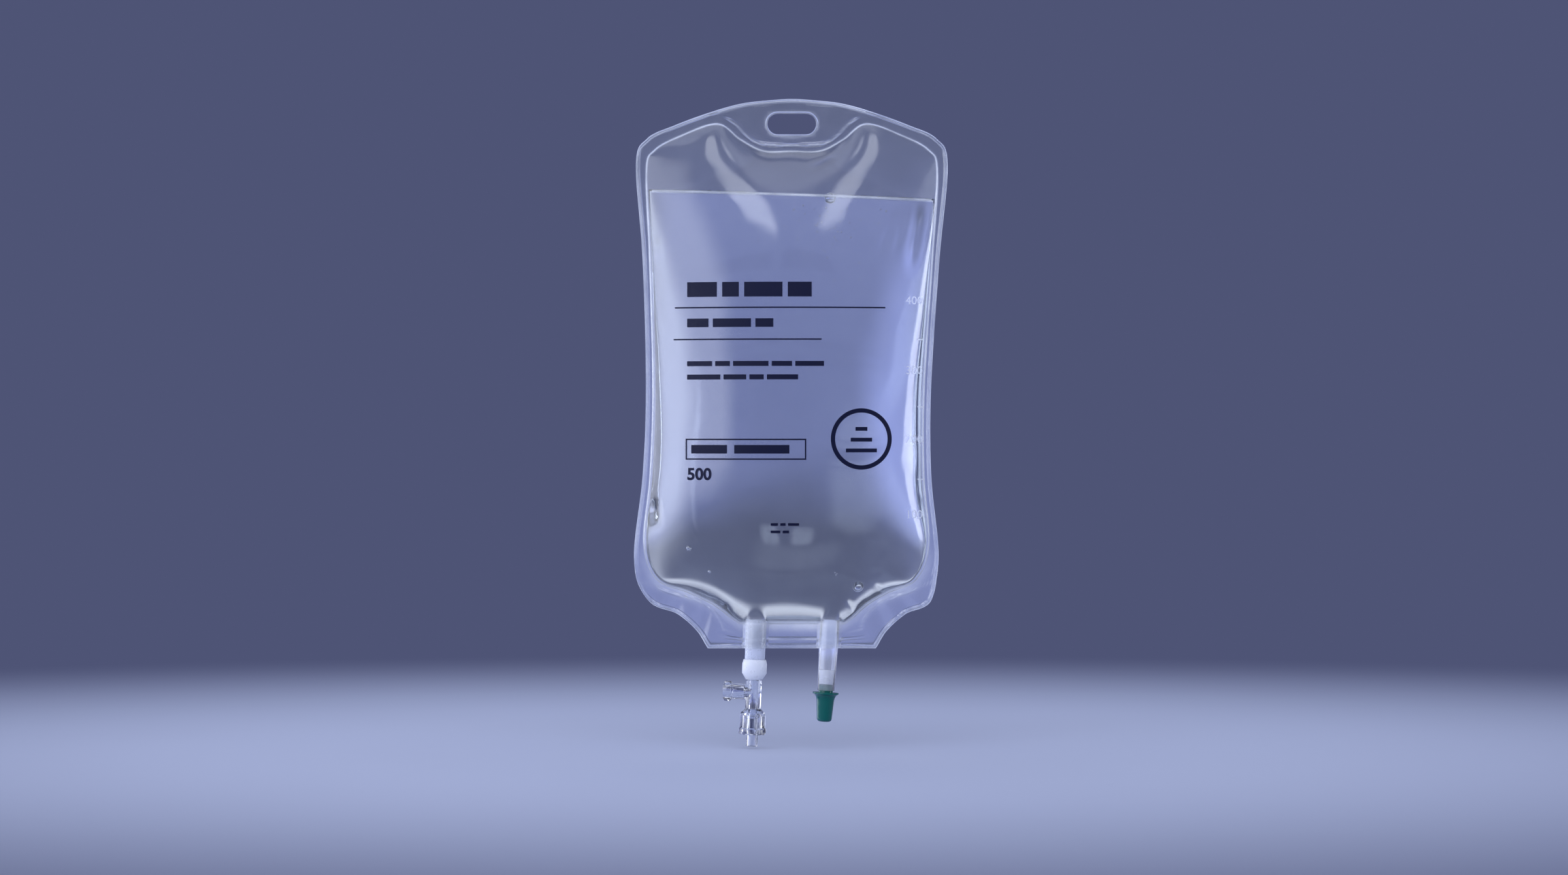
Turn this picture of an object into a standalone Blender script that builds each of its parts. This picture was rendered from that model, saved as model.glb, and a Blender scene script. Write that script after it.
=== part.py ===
"""Infusion bag: two clear films welded round 500 ml of solution, with an outlet port and a spike port.

The bag is drawn as it hangs. +Z is up, +X is to the right of someone who faces the print, and the front
film faces -Y. The origin is the middle of the hanger slot's upper edge, which carries the bag's weight.
Lengths are in metres. A depth is a distance below the origin, or below the films' foot on a port.
"""

import math

import bmesh
import bpy
import numpy as np
from mathutils import Vector

# Films: the outer edge
FILM_THICKNESS = 0.0004
SEAM_GAP = 0.0003
CROWN_RISE = 0.0061
SHOULDER_HALF_WIDTH = 0.0656
SHOULDER_DEPTH = 0.0215
WAIST_HALF_WIDTH = 0.0600
WAIST_DEPTH = 0.1150
FOOT_HALF_WIDTH = 0.0353
FOOT_DEPTH = 0.2251
EAR_HALF_WIDTH = 0.0641
EAR_RISE = 0.0381
EAR_DEPTH = FOOT_DEPTH - EAR_RISE
SWAY = 0.0023
SWAY_CATCH = 0.007
SWAY_END = 0.002

# Films: the pouch inside the weld
SIDE_WELD = 0.0030
DIP_DEPTH = 0.0159
DIP_HALF_WIDTH = 0.0120
PEAK_DEPTH = 0.0045
PEAK_X = 0.0312
FOOT_WELD = 0.0104
POUCH_FOOT_DEPTH = FOOT_DEPTH - FOOT_WELD
BULGE = 0.0221
TOP_LOAD = 0.25
ROUNDNESS = 0.75
SPINE_TOP_DEPTH = 0.0650
SPINE_FOOT_RISE = 0.0601
SPINE_FOOT_DEPTH = FOOT_DEPTH - SPINE_FOOT_RISE

# Hanger slot
SLOT_WIDTH = 0.0205
SLOT_HEIGHT = 0.0088
SLOT_RIM_WIDTH = 0.0012
SLOT_RIM_RISE = 0.0003

# Solution
FILL_DEPTH = 0.0355
FILL_TILT = math.radians(1.9)
FLUID_GAP = 0.0003

# Fits
FIT_GAP = 0.00015
RUNNING_GAP = 0.0003
SLEEVE_GAP = 0.0003
SLEEVE_WRAP = math.radians(60)
SLEEVE_FADE_START = 0.001
SLEEVE_FADE_END = 0.014

# Outlet port, from the films' foot down
PORT_OFFSET = 0.0154
OUTLET_LEAN = math.radians(2.05)
OUTLET_TUBE_RADIUS = 0.00425
OUTLET_TUBE_WALL = 0.0012
OUTLET_TUBE_END = 0.0085
TUBE_INTRUSION = 0.0018
MEMBRANE_THICKNESS = 0.0008
COLLAR_RADIUS = 0.0052
COLLAR_LIP_WALL = 0.00035
COLLAR_TOP = 0.0048
COLLAR_FLARE = 0.0018
COLLAR_TAPER = 0.0028
COLLAR_FOOT_STEP = 0.0001
COLLAR_END = 0.0133
SPIGOT_RADIUS = 0.0026
SPIGOT_LENGTH = 0.0030

# Tee on the outlet
TEE_RADIUS = 0.00333
TEE_BORE = 0.0015
TEE_END = 0.0253
NECK_RADIUS = 0.0025
RIDGE_RISE = 0.0007
RIDGE_WIDTH = 0.0008
TIP_RADIUS = 0.00235
TIP_FLARE = 0.00025
TIP_END = 0.0413
ARM_DEPTH = 0.0185
ARM_RADIUS = 0.00325
ARM_BORE = 0.0021
ARM_BORE_INNER = 0.00193
ARM_PASSAGE = 0.00135
ARM_STEP = 0.0004
ARM_REACH = 0.0126
ARM_TURN = math.radians(-10)
HUB_RADIUS = 0.0037
HUB_WIDTH = 0.0034
LUG_RISE = 0.0005
LUG_ROOT = 0.0004
LUG_SPAN = math.radians(80)
LUG_STEPS = 6

# Lock collar round the tee's neck
LOCK_RADIUS = 0.0052
LOCK_BORE = 0.0040
LOCK_LIP = 0.0028
LOCK_SHOULDER = 0.0018
LOCK_END = 0.0363
LOCK_RIM_RADIUS = 0.00575
LOCK_RIM_HEIGHT = 0.0028
LOCK_CHAMFER = 0.0004
RIB_COUNT = 8
RIB_RISE = 0.0004
RIB_WIDTH = 0.0009

# Spike port, from the films' foot down
SPIKE_LEAN = math.radians(3.36)
SPIKE_TUBE_RADIUS = 0.0040
SPIKE_TUBE_END_RADIUS = 0.00365
SPIKE_TUBE_WALL = 0.0005
SPIKE_TUBE_END = 0.0178
BUSH_TOP = 0.0092
BUSH_END = 0.0150
BUSH_WALL = 0.0009
BUSH_FLOOR = 0.0006

# Stopper in the spike tube
STOPPER_RIM_RADIUS = 0.0055
STOPPER_RIM_DEPTH = 0.0187
STOPPER_RIM_THICKNESS = 0.0006
STOPPER_FLARE_LENGTH = 0.0035
STOPPER_BODY_RADIUS = 0.0037
STOPPER_END_RADIUS = 0.0032
STOPPER_END = 0.0310
STOPPER_ROUNDING = 0.0014

# Facets
ROUND = 32
SLOT_END_STEPS = 10
FLARE_STEPS = 5
ROUNDING_STEPS = 4
SHARP_ANGLE = math.radians(35)
MERGE_DISTANCE = 1e-6
GRID_STEP = 0.0016
GRID_SWEEPS = 4000
RING_SHARES = (0.0, 0.06, 0.17, 0.34, 0.56, 0.78, 1.0)
SPANS = (2, 2, 2, 2, 3, 3, 3, 3, 2, 3, 2, 3, 2, 1)
SLEEVE_SHARES = (1.5, 1.155, 0.87, 0.60, 0.30, 0.0, -0.30, -0.60, -0.87, -1.155, -1.5)


def clear_scene():
    for old in list(bpy.data.objects):
        bpy.data.objects.remove(old, do_unlink=True)


def material(name, color, roughness, alpha=1.0):
    made = bpy.data.materials.new(name)
    made.use_nodes = True
    shader = made.node_tree.nodes["Principled BSDF"]
    shader.inputs["Base Color"].default_value = (*color, 1.0)
    shader.inputs["Roughness"].default_value = roughness
    shader.inputs["Metallic"].default_value = 0.0
    shader.inputs["Alpha"].default_value = alpha
    return made


def add_mesh(name, bm, finish=None, parent=None, location=(0, 0, 0), rotation=(0, 0, 0)):
    """An object from bm, closed with its faces out, placed under parent."""
    bmesh.ops.recalc_face_normals(bm, faces=bm.faces)
    mesh = bpy.data.meshes.new(name)
    bm.to_mesh(mesh)
    bm.free()
    mesh.shade_smooth()
    mesh.set_sharp_from_angle(angle=SHARP_ANGLE)
    made = bpy.data.objects.new(name, mesh)
    bpy.context.scene.collection.objects.link(made)
    made.parent = parent
    made.location = location
    made.rotation_euler = rotation
    if finish:
        mesh.materials.append(finish)
    return made


def boolean(target, operation, other):
    """Adds an exact Boolean with other, which becomes a hidden guide."""
    other.hide_render = True
    other.display_type = "WIRE"
    step = target.modifiers.new(f"{operation.lower()}_{other.name}", "BOOLEAN")
    step.operation = operation
    step.solver = "EXACT"
    step.object = other


def turned(profile):
    """A body turned round Z from the (radius, z) points of its section, which is closed or ends on the axis."""
    bm = bmesh.new()
    rings = []
    for radius, z in profile:
        if radius == 0:
            rings.append([bm.verts.new((0, 0, z))] * ROUND)
            continue
        angles = [2 * math.pi * i / ROUND for i in range(ROUND)]
        rings.append([bm.verts.new((radius * math.cos(a), radius * math.sin(a), z)) for a in angles])
    ends_on_axis = profile[0][0] == 0 and profile[-1][0] == 0
    followers = rings[1:] if ends_on_axis else rings[1:] + rings[:1]
    for ring, follower in zip(rings, followers):
        for i in range(ROUND):
            j = (i + 1) % ROUND
            corners = [ring[i], ring[j], follower[j], follower[i]]
            bm.faces.new(list(dict.fromkeys(corners)))
    return bm


def arc(center, start, end, steps, radii):
    """Points on an ellipse's arc, both ends included."""
    angles = [start + (end - start) * i / steps for i in range(steps + 1)]
    return [(center[0] + radii[0] * math.cos(a), center[1] + radii[1] * math.sin(a)) for a in angles]


def empty(name, location, rotation):
    made = bpy.data.objects.new(name, None)
    made.location = location
    made.rotation_euler = rotation
    bpy.context.scene.collection.objects.link(made)
    return made


def smoothstep(value, low, high):
    share = np.clip((value - low) / (high - low), 0, 1)
    return share * share * (3 - 2 * share)


def smooth_curve(points, counts):
    """A curve through points, with counts[i] even steps on span i. It starts level, as if mirrored in x."""
    points = [np.array(p, float) for p in points]
    before = points[1] * (-1, 1)
    after = 2 * points[-1] - points[-2]
    padded = [before, *points, after]
    curve = []
    for i, count in enumerate(counts):
        a, b, c, d = padded[i : i + 4]
        for k in range(count):
            t = k / count
            curve.append(
                0.5 * (2 * b + (c - a) * t + (2 * a - 5 * b + 4 * c - d) * t**2 + (3 * b - a - 3 * c + d) * t**3)
            )
    curve.append(points[-1])
    return np.array(curve)


# The same 15 places on the films' outer edge and on the pouch's edge, from the middle of the top to the foot.
EDGE_POINTS = (
    (0.0, CROWN_RISE),
    (DIP_HALF_WIDTH, CROWN_RISE - 0.0008),
    (0.022, CROWN_RISE - 0.0022),
    (0.034, CROWN_RISE - 0.0056),
    (0.049, CROWN_RISE - 0.0110),
    (SHOULDER_HALF_WIDTH - 0.0048, 0.0110 - SHOULDER_DEPTH),
    (SHOULDER_HALF_WIDTH, -SHOULDER_DEPTH),
    (WAIST_HALF_WIDTH + 0.0024, 0.0530 - WAIST_DEPTH),
    (WAIST_HALF_WIDTH, -WAIST_DEPTH),
    (WAIST_HALF_WIDTH + 0.0007, 0.0350 - EAR_DEPTH),
    (EAR_HALF_WIDTH, -EAR_DEPTH),
    (EAR_HALF_WIDTH - 0.0046, -0.0180 - EAR_DEPTH),
    (FOOT_HALF_WIDTH + 0.0125, 0.0143 - FOOT_DEPTH),
    (FOOT_HALF_WIDTH + 0.0045, 0.0071 - FOOT_DEPTH),
    (FOOT_HALF_WIDTH, -FOOT_DEPTH),
)
POUCH_POINTS = (
    (0.0, -DIP_DEPTH),
    (DIP_HALF_WIDTH, 0.0001 - DIP_DEPTH),
    (PEAK_X - 0.0095, -0.0065 - PEAK_DEPTH),
    (PEAK_X, -PEAK_DEPTH),
    (0.046, -0.0047 - PEAK_DEPTH),
    (SHOULDER_HALF_WIDTH - 0.0080, 0.0061 - SHOULDER_DEPTH),
    (SHOULDER_HALF_WIDTH - 0.0044, -0.0030 - SHOULDER_DEPTH),
    (WAIST_HALF_WIDTH + 0.0024 - SIDE_WELD, 0.0530 - WAIST_DEPTH),
    (WAIST_HALF_WIDTH - SIDE_WELD, -WAIST_DEPTH),
    (WAIST_HALF_WIDTH + 0.0005 - SIDE_WELD, 0.0350 - EAR_DEPTH),
    (EAR_HALF_WIDTH - 0.0012 - SIDE_WELD, 0.0060 - EAR_DEPTH),
    (EAR_HALF_WIDTH - 0.0064 - SIDE_WELD, -0.0090 - EAR_DEPTH),
    (FOOT_HALF_WIDTH + 0.0070, 0.0132 - POUCH_FOOT_DEPTH),
    (FOOT_HALF_WIDTH - 0.0030, 0.0079 - POUCH_FOOT_DEPTH),
    (FOOT_HALF_WIDTH - 0.0098, 0.0023 - POUCH_FOOT_DEPTH),
)
SHOULDER_PLACE = 6
EAR_PLACE = 10

PORTS = (
    (-PORT_OFFSET, OUTLET_LEAN, OUTLET_TUBE_RADIUS),
    (PORT_OFFSET, SPIKE_LEAN, SPIKE_TUBE_RADIUS),
)


def axis_x(port, z):
    """Where a port's leaning axis stands at height z."""
    foot_x, lean, _ = port
    return foot_x + (z + FOOT_DEPTH) * math.tan(lean)


def sleeve_height(x, z):
    """How far a film stands off to pass over the port tubes: round on top, then straight down to the weld."""
    tube_top = TUBE_INTRUSION - POUCH_FOOT_DEPTH
    height = np.zeros_like(x)
    for port in PORTS:
        radius = port[2] + SLEEVE_GAP
        off = np.abs(x - axis_x(port, z))
        crown = np.sqrt(np.maximum(radius**2 - off**2, 0))
        web = np.maximum(radius / math.sin(SLEEVE_WRAP) - off, 0) * math.tan(SLEEVE_WRAP)
        tent = np.where(off < radius * math.sin(SLEEVE_WRAP), crown, web)
        fade = 1 - smoothstep(z, tube_top + SLEEVE_FADE_START, tube_top + SLEEVE_FADE_END)
        height = np.maximum(height, tent * fade)
    return height


def stations():
    """(edge, pouch, spine) points for each station round the bag, and whether each follows a port."""
    edge = smooth_curve(EDGE_POINTS, SPANS)
    pouch = smooth_curve(POUCH_POINTS, SPANS)
    first = sum(SPANS[:SHOULDER_PLACE])
    last = sum(SPANS[:EAR_PLACE])
    down = np.clip((np.arange(len(edge)) - first) / (last - first), 0, 1)
    spine_z = -SPINE_TOP_DEPTH - down * (SPINE_FOOT_DEPTH - SPINE_TOP_DEPTH)
    right = [(e, p, (0.0, s)) for e, p, s in zip(edge, pouch, spine_z)]
    foot = []
    for port in reversed(PORTS):
        for share in SLEEVE_SHARES:
            off = share * (port[2] + SLEEVE_GAP)
            rows = [(axis_x(port, -depth) + off, -depth) for depth in (FOOT_DEPTH, POUCH_FOOT_DEPTH)]
            foot.append((*rows, (0.0, -SPINE_FOOT_DEPTH)))
    middle = ((0.0, -FOOT_DEPTH), (0.0, -POUCH_FOOT_DEPTH), (0.0, -SPINE_FOOT_DEPTH))
    foot.insert(len(SLEEVE_SHARES), middle)
    left = [tuple((-x, z) for x, z in row) for row in reversed(right[1:])]
    return np.array([np.array(row, float) for row in right + foot + left])


def inside(x, z, outline):
    """Which of the points lie inside the closed outline, by counting the edges on their right."""
    crossings = np.zeros(x.shape, int)
    for (x0, z0), (x1, z1) in zip(outline, np.roll(outline, -1, axis=0)):
        if z0 != z1:
            spans = (z0 > z) != (z1 > z)
            crossings += spans & (x < x0 + (z - z0) * (x1 - x0) / (z1 - z0))
    return crossings % 2 == 1


def pouch_skin(outline):
    """(x values, z values, height) of a stretched skin over the pouch, under a load that grows with depth."""
    (low_x, low_z), (high_x, high_z) = outline.min(axis=0), outline.max(axis=0)
    xs = np.arange(low_x - GRID_STEP, high_x + 2 * GRID_STEP, GRID_STEP)
    zs = np.arange(low_z - GRID_STEP, high_z + 2 * GRID_STEP, GRID_STEP)
    x, z = np.meshgrid(xs, zs, indexing="ij")
    covered = inside(x, z, outline)
    load = covered * (TOP_LOAD - z / POUCH_FOOT_DEPTH)
    skin = np.zeros_like(x)
    for _ in range(GRID_SWEEPS):
        around = skin[2:, 1:-1] + skin[:-2, 1:-1] + skin[1:-1, 2:] + skin[1:-1, :-2]
        skin[1:-1, 1:-1] = covered[1:-1, 1:-1] * (around + load[1:-1, 1:-1]) / 4
    return xs, zs, BULGE * (skin / skin.max()) ** ROUNDNESS


def sample(grid, x, z):
    """The grid's height at each point, blended from the four grid points round it."""
    xs, zs, height = grid
    i = np.clip(((x - xs[0]) / GRID_STEP).astype(int), 0, len(xs) - 2)
    j = np.clip(((z - zs[0]) / GRID_STEP).astype(int), 0, len(zs) - 2)
    u, v = (x - xs[i]) / GRID_STEP, (z - zs[j]) / GRID_STEP
    low = height[i, j] * (1 - u) + height[i + 1, j] * u
    high = height[i, j + 1] * (1 - u) + height[i + 1, j + 1] * u
    return low * (1 - v) + high * v


def sway(z):
    """How far the pouch hangs over to the left: nothing at the top and at the ports, most at the ears."""
    fallen = smoothstep(-z, SHOULDER_DEPTH, EAR_DEPTH)
    caught = smoothstep(-z, EAR_DEPTH + SWAY_CATCH, POUCH_FOOT_DEPTH - SWAY_END)
    return SWAY * fallen * (1 - caught)


def film_rings():
    """(x, height, z) of each ring of a film, from its outer edge in to the spine down the pouch's middle."""
    edge, pouch, spine = np.moveaxis(stations(), 1, 0)
    grid = pouch_skin(pouch)
    rings = []
    for share in (None, *RING_SHARES):
        line = edge if share is None else pouch + (spine - pouch) * share
        pillow = sample(grid, line[:, 0], line[:, 1]) if share else 0
        x, z = line[:, 0] - sway(line[:, 1]), line[:, 1]
        height = (pillow**4 + sleeve_height(x, z) ** 4) ** 0.25
        rings.append(np.stack([x, height, z], axis=1))
    return rings


def sheet(rings, side, offset, closed_edge=False):
    """A sheet of quads through the rings, on the front (side -1) or the back (side 1) of the seam plane."""
    bm = bmesh.new()
    rows = []
    for number, ring in enumerate(rings):
        flat = closed_edge and number == 0
        rows.append([bm.verts.new((x, 0 if flat else side * (h + offset), z)) for x, h, z in ring])
    for outer, inner in zip(rows, rows[1:]):
        for i in range(len(outer)):
            j = (i + 1) % len(outer)
            bm.faces.new((outer[i], outer[j], inner[j], inner[i]))
    bmesh.ops.remove_doubles(bm, verts=bm.verts, dist=MERGE_DISTANCE)
    return bm


def slot_outline(grow):
    """The slot's outline in XZ, grown outwards: two straight runs and two half-round ends."""
    radius = SLOT_HEIGHT / 2 + grow
    reach = SLOT_WIDTH / 2 - SLOT_HEIGHT / 2
    middle_z = -SLOT_HEIGHT / 2
    right = arc((reach, middle_z), -math.pi / 2, math.pi / 2, SLOT_END_STEPS, (radius, radius))
    left = arc((-reach, middle_z), math.pi / 2, math.pi * 3 / 2, SLOT_END_STEPS, (radius, radius))
    return right + left


def slab(outline, low_y, high_y):
    bm = bmesh.new()
    face = bm.faces.new([bm.verts.new((x, low_y, z)) for x, z in outline])
    made = bmesh.ops.extrude_face_region(bm, geom=[face])
    moved = [v for v in made["geom"] if isinstance(v, bmesh.types.BMVert)]
    bmesh.ops.translate(bm, verts=moved, vec=(0, high_y - low_y, 0))
    return bm


def film(name, side, rings, finish):
    """One film: a sheet at the weld plane and round the pouch, thickened outwards, with its slot."""
    bm = sheet(rings, side, SEAM_GAP / 2)
    bm.faces.ensure_lookup_table()
    made = add_mesh(name, bm, finish)
    if made.data.polygons[0].normal.y * side < 0:
        made.data.flip_normals()
    thick = made.modifiers.new("thickness", "SOLIDIFY")
    thick.thickness = FILM_THICKNESS
    thick.offset = 1
    thick.use_even_offset = True
    near = SEAM_GAP / 2
    far = near + FILM_THICKNESS + SLOT_RIM_RISE
    rim = add_mesh(f"{name}_slot_rim", slab(slot_outline(SLOT_RIM_WIDTH), *sorted((side * near, side * far))))
    boolean(made, "UNION", rim)
    reach = 2 * (FILM_THICKNESS + SLOT_RIM_RISE + SEAM_GAP)
    cut = add_mesh(f"{name}_slot_cut", slab(slot_outline(0.0), -reach, reach))
    boolean(made, "DIFFERENCE", cut)
    return made


def spike_tube_radius(depth):
    """The spike tube's outer radius, which tapers from the films' foot down."""
    share = max(depth, 0) / SPIKE_TUBE_END
    return SPIKE_TUBE_RADIUS + (SPIKE_TUBE_END_RADIUS - SPIKE_TUBE_RADIUS) * share


def spike_bore_radius(depth):
    return spike_tube_radius(depth) - SPIKE_TUBE_WALL


def fluid(rings, finish, outlet, spike):
    """The solution: the pouch up to the fill line, with a column down each port tube."""
    rings = rings[2:]
    front = sheet(rings, -1, SEAM_GAP / 2 - FLUID_GAP, closed_edge=True)
    back = sheet(rings, 1, SEAM_GAP / 2 - FLUID_GAP, closed_edge=True)
    spare = bpy.data.meshes.new("fluid_back")
    back.to_mesh(spare)
    back.free()
    front.from_mesh(spare)
    bpy.data.meshes.remove(spare)
    bmesh.ops.remove_doubles(front, verts=front.verts, dist=MERGE_DISTANCE)
    made = add_mesh("fluid", front, finish)
    width, height = 4 * SHOULDER_HALF_WIDTH, 2 * SHOULDER_HALF_WIDTH
    corners = [(-width / 2, 0), (width / 2, 0), (width / 2, height), (-width / 2, height)]
    air = add_mesh(
        "air_cut",
        slab(corners, -2 * BULGE, 2 * BULGE),
        location=(0, 0, -FILL_DEPTH),
        rotation=(0, FILL_TILT, 0),
    )
    boolean(made, "DIFFERENCE", air)
    top = 2 * (FOOT_DEPTH - POUCH_FOOT_DEPTH)
    outlet_bore = OUTLET_TUBE_RADIUS - OUTLET_TUBE_WALL - FIT_GAP
    outlet_column = [(0, top), (outlet_bore, top), (outlet_bore, -OUTLET_TUBE_END), (0, -OUTLET_TUBE_END)]
    boolean(made, "UNION", add_mesh("outlet_column", turned(outlet_column), parent=outlet))
    wide = BUSH_TOP - FIT_GAP
    bush_bore = spike_bore_radius(BUSH_END) - FIT_GAP - BUSH_WALL
    narrow = bush_bore - FIT_GAP
    floor = BUSH_END - BUSH_FLOOR - FIT_GAP
    spike_column = [
        (0, top),
        (spike_bore_radius(0) - FIT_GAP, top),
        (spike_bore_radius(0) - FIT_GAP, 0),
        (spike_bore_radius(wide) - FIT_GAP, -wide),
        (narrow, -wide),
        (narrow, -floor),
        (0, -floor),
    ]
    boolean(made, "UNION", add_mesh("spike_column", turned(spike_column), parent=spike))
    return made


def tube_top():
    """Height of the tubes' inner ends above the films' foot."""
    return FOOT_DEPTH - POUCH_FOOT_DEPTH + TUBE_INTRUSION


def outlet_tube(finish, outlet):
    outer, inner = OUTLET_TUBE_RADIUS, OUTLET_TUBE_RADIUS - OUTLET_TUBE_WALL
    profile = [(outer, tube_top()), (outer, -OUTLET_TUBE_END), (inner, -OUTLET_TUBE_END), (inner, tube_top())]
    return add_mesh("outlet_tube", turned(profile), finish, outlet)


def outlet_membrane(finish, outlet):
    radius = OUTLET_TUBE_RADIUS
    top = OUTLET_TUBE_END + FIT_GAP
    end = top + MEMBRANE_THICKNESS
    return add_mesh("outlet_membrane", turned([(0, -top), (radius, -top), (radius, -end), (0, -end)]), finish, outlet)


def collar_shelf():
    """Depth of the shelf in the outlet collar, which carries the membrane."""
    return OUTLET_TUBE_END + MEMBRANE_THICKNESS + 2 * FIT_GAP


def outlet_collar(finish, outlet):
    """Bush over the tube's end: it holds the membrane, and the tee's spigot from below."""
    socket = OUTLET_TUBE_RADIUS + FIT_GAP
    bore = SPIGOT_RADIUS + FIT_GAP
    profile = [
        (socket, -COLLAR_TOP),
        (socket + COLLAR_LIP_WALL, -COLLAR_TOP),
        (COLLAR_RADIUS, -COLLAR_TOP - COLLAR_FLARE),
        (COLLAR_RADIUS, COLLAR_TAPER - COLLAR_END),
        (TEE_RADIUS + COLLAR_FOOT_STEP, -COLLAR_END),
        (bore, -COLLAR_END),
        (bore, -collar_shelf()),
        (socket, -collar_shelf()),
    ]
    return add_mesh("outlet_collar", turned(profile), finish, outlet)


def tee_connector(finish, outlet):
    """Clear moulding: spigot, body, neck and male tip on one axis, and a lugged hub on a side arm."""
    body_top = COLLAR_END + FIT_GAP
    ridge = TEE_END + RUNNING_GAP + LOCK_LIP + RUNNING_GAP
    flare = TIP_END - 2 * TIP_FLARE
    profile = [
        (0, SPIGOT_LENGTH - body_top),
        (SPIGOT_RADIUS, SPIGOT_LENGTH - body_top),
        (SPIGOT_RADIUS, -body_top),
        (TEE_RADIUS, -body_top),
        (TEE_RADIUS, -TEE_END),
        (NECK_RADIUS, -TEE_END),
        (NECK_RADIUS, -ridge),
        (NECK_RADIUS + RIDGE_RISE, -ridge),
        (NECK_RADIUS, -ridge - RIDGE_WIDTH),
        (TIP_RADIUS, -flare),
        (TIP_RADIUS + TIP_FLARE, TIP_FLARE / 2 - TIP_END),
        (TIP_RADIUS + TIP_FLARE, -TIP_END),
        (0, -TIP_END),
    ]
    made = add_mesh("tee_connector", turned(profile), finish, outlet)
    arm_frame = empty("arm_axis", (0, 0, -ARM_DEPTH), (0, -math.pi / 2, ARM_TURN))
    arm_frame.parent = outlet
    hub = ARM_REACH - HUB_WIDTH
    arm = [
        (0, 0),
        (ARM_RADIUS, 0),
        (ARM_RADIUS, hub),
        (HUB_RADIUS, hub),
        (HUB_RADIUS, ARM_REACH),
        (0, ARM_REACH),
    ]
    boolean(made, "UNION", add_mesh("side_arm", turned(arm), parent=arm_frame))
    boolean(made, "UNION", add_mesh("hub_lugs", lugs(hub), parent=arm_frame))
    past = 2 * TEE_RADIUS
    bore = [(0, SPIGOT_LENGTH), (TEE_BORE, SPIGOT_LENGTH), (TEE_BORE, -TIP_END - past), (0, -TIP_END - past)]
    boolean(made, "DIFFERENCE", add_mesh("tee_bore", turned(bore), parent=outlet))
    taper = [
        (0, 0),
        (ARM_PASSAGE, 0),
        (ARM_PASSAGE, TEE_RADIUS),
        (ARM_BORE_INNER, TEE_RADIUS + ARM_STEP),
        (ARM_BORE, ARM_REACH),
        (ARM_BORE, ARM_REACH + past),
        (0, ARM_REACH + past),
    ]
    boolean(made, "DIFFERENCE", add_mesh("arm_bore", turned(taper), parent=arm_frame))
    return made


def lugs(start):
    """Two lugs on the hub that a cap's thread would take: blocks of a ring, with sloping flanks."""
    bm = bmesh.new()
    low, high = HUB_RADIUS - LUG_ROOT, HUB_RADIUS + LUG_RISE
    inset = LUG_RISE
    for middle in (0.0, math.pi):
        sections = []
        for i in range(LUG_STEPS + 1):
            angle = middle + LUG_SPAN * (i / LUG_STEPS - 0.5)
            direction = Vector((math.cos(angle), math.sin(angle), 0))
            section = [
                (low, start + inset / 2),
                (high, start + inset),
                (high, ARM_REACH - inset / 2),
                (low, ARM_REACH - inset / 4),
            ]
            sections.append([bm.verts.new(direction * r + Vector((0, 0, z))) for r, z in section])
        bm.faces.new(sections[0])
        bm.faces.new(sections[-1])
        for one, two in zip(sections, sections[1:]):
            for i in range(4):
                j = (i + 1) % 4
                bm.faces.new((one[i], one[j], two[j], two[i]))
    return bm


def lock_collar(finish, outlet):
    """Ribbed sleeve that turns on the tee's neck, held between the body's shoulder and the ridge."""
    top = TEE_END + RUNNING_GAP
    lip = top + LOCK_LIP
    rim = LOCK_END - LOCK_RIM_HEIGHT
    bore = NECK_RADIUS + RUNNING_GAP
    profile = [
        (bore, top),
        (TEE_RADIUS, top),
        (LOCK_RADIUS, top + LOCK_SHOULDER),
        (LOCK_RADIUS, rim),
        (LOCK_RIM_RADIUS, rim + LOCK_CHAMFER),
        (LOCK_RIM_RADIUS, LOCK_END - LOCK_CHAMFER),
        (LOCK_RIM_RADIUS - LOCK_CHAMFER, LOCK_END),
        (LOCK_BORE, LOCK_END),
        (LOCK_BORE, lip),
        (bore, lip),
    ]
    profile = [(radius, top - depth) for radius, depth in profile]
    place = (0, 0, -top)
    made = add_mesh("lock_collar", turned(profile), finish, outlet, place)
    bm = bmesh.new()
    low, high = (LOCK_RADIUS + LOCK_BORE) / 2, LOCK_RADIUS + RIB_RISE
    rise = LOCK_SHOULDER + RIB_RISE
    foot = rim + LOCK_CHAMFER - top
    section = [(low, LOCK_SHOULDER), (LOCK_RADIUS, LOCK_SHOULDER), (high, rise), (high, foot), (low, foot)]
    for number in range(RIB_COUNT):
        angle = 2 * math.pi * (number + 0.5) / RIB_COUNT
        out = Vector((math.cos(angle), math.sin(angle), 0))
        across = Vector((-math.sin(angle), math.cos(angle), 0)) * RIB_WIDTH / 2
        sides = []
        for sign in (-1, 1):
            sides.append([bm.verts.new(out * r + across * sign - Vector((0, 0, depth))) for r, depth in section])
            bm.faces.new(sides[-1])
        for i in range(len(section)):
            j = (i + 1) % len(section)
            bm.faces.new((sides[0][i], sides[0][j], sides[1][j], sides[1][i]))
    boolean(made, "UNION", add_mesh("lock_ribs", bm, parent=outlet, location=place))
    return made


def spike_tube(finish, spike):
    wall = SPIKE_TUBE_WALL
    profile = [
        (SPIKE_TUBE_RADIUS, tube_top()),
        (SPIKE_TUBE_RADIUS, 0),
        (SPIKE_TUBE_END_RADIUS, -SPIKE_TUBE_END),
        (SPIKE_TUBE_END_RADIUS - wall, -SPIKE_TUBE_END),
        (SPIKE_TUBE_RADIUS - wall, 0),
        (SPIKE_TUBE_RADIUS - wall, tube_top()),
    ]
    return add_mesh("spike_tube", turned(profile), finish, spike)


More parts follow.
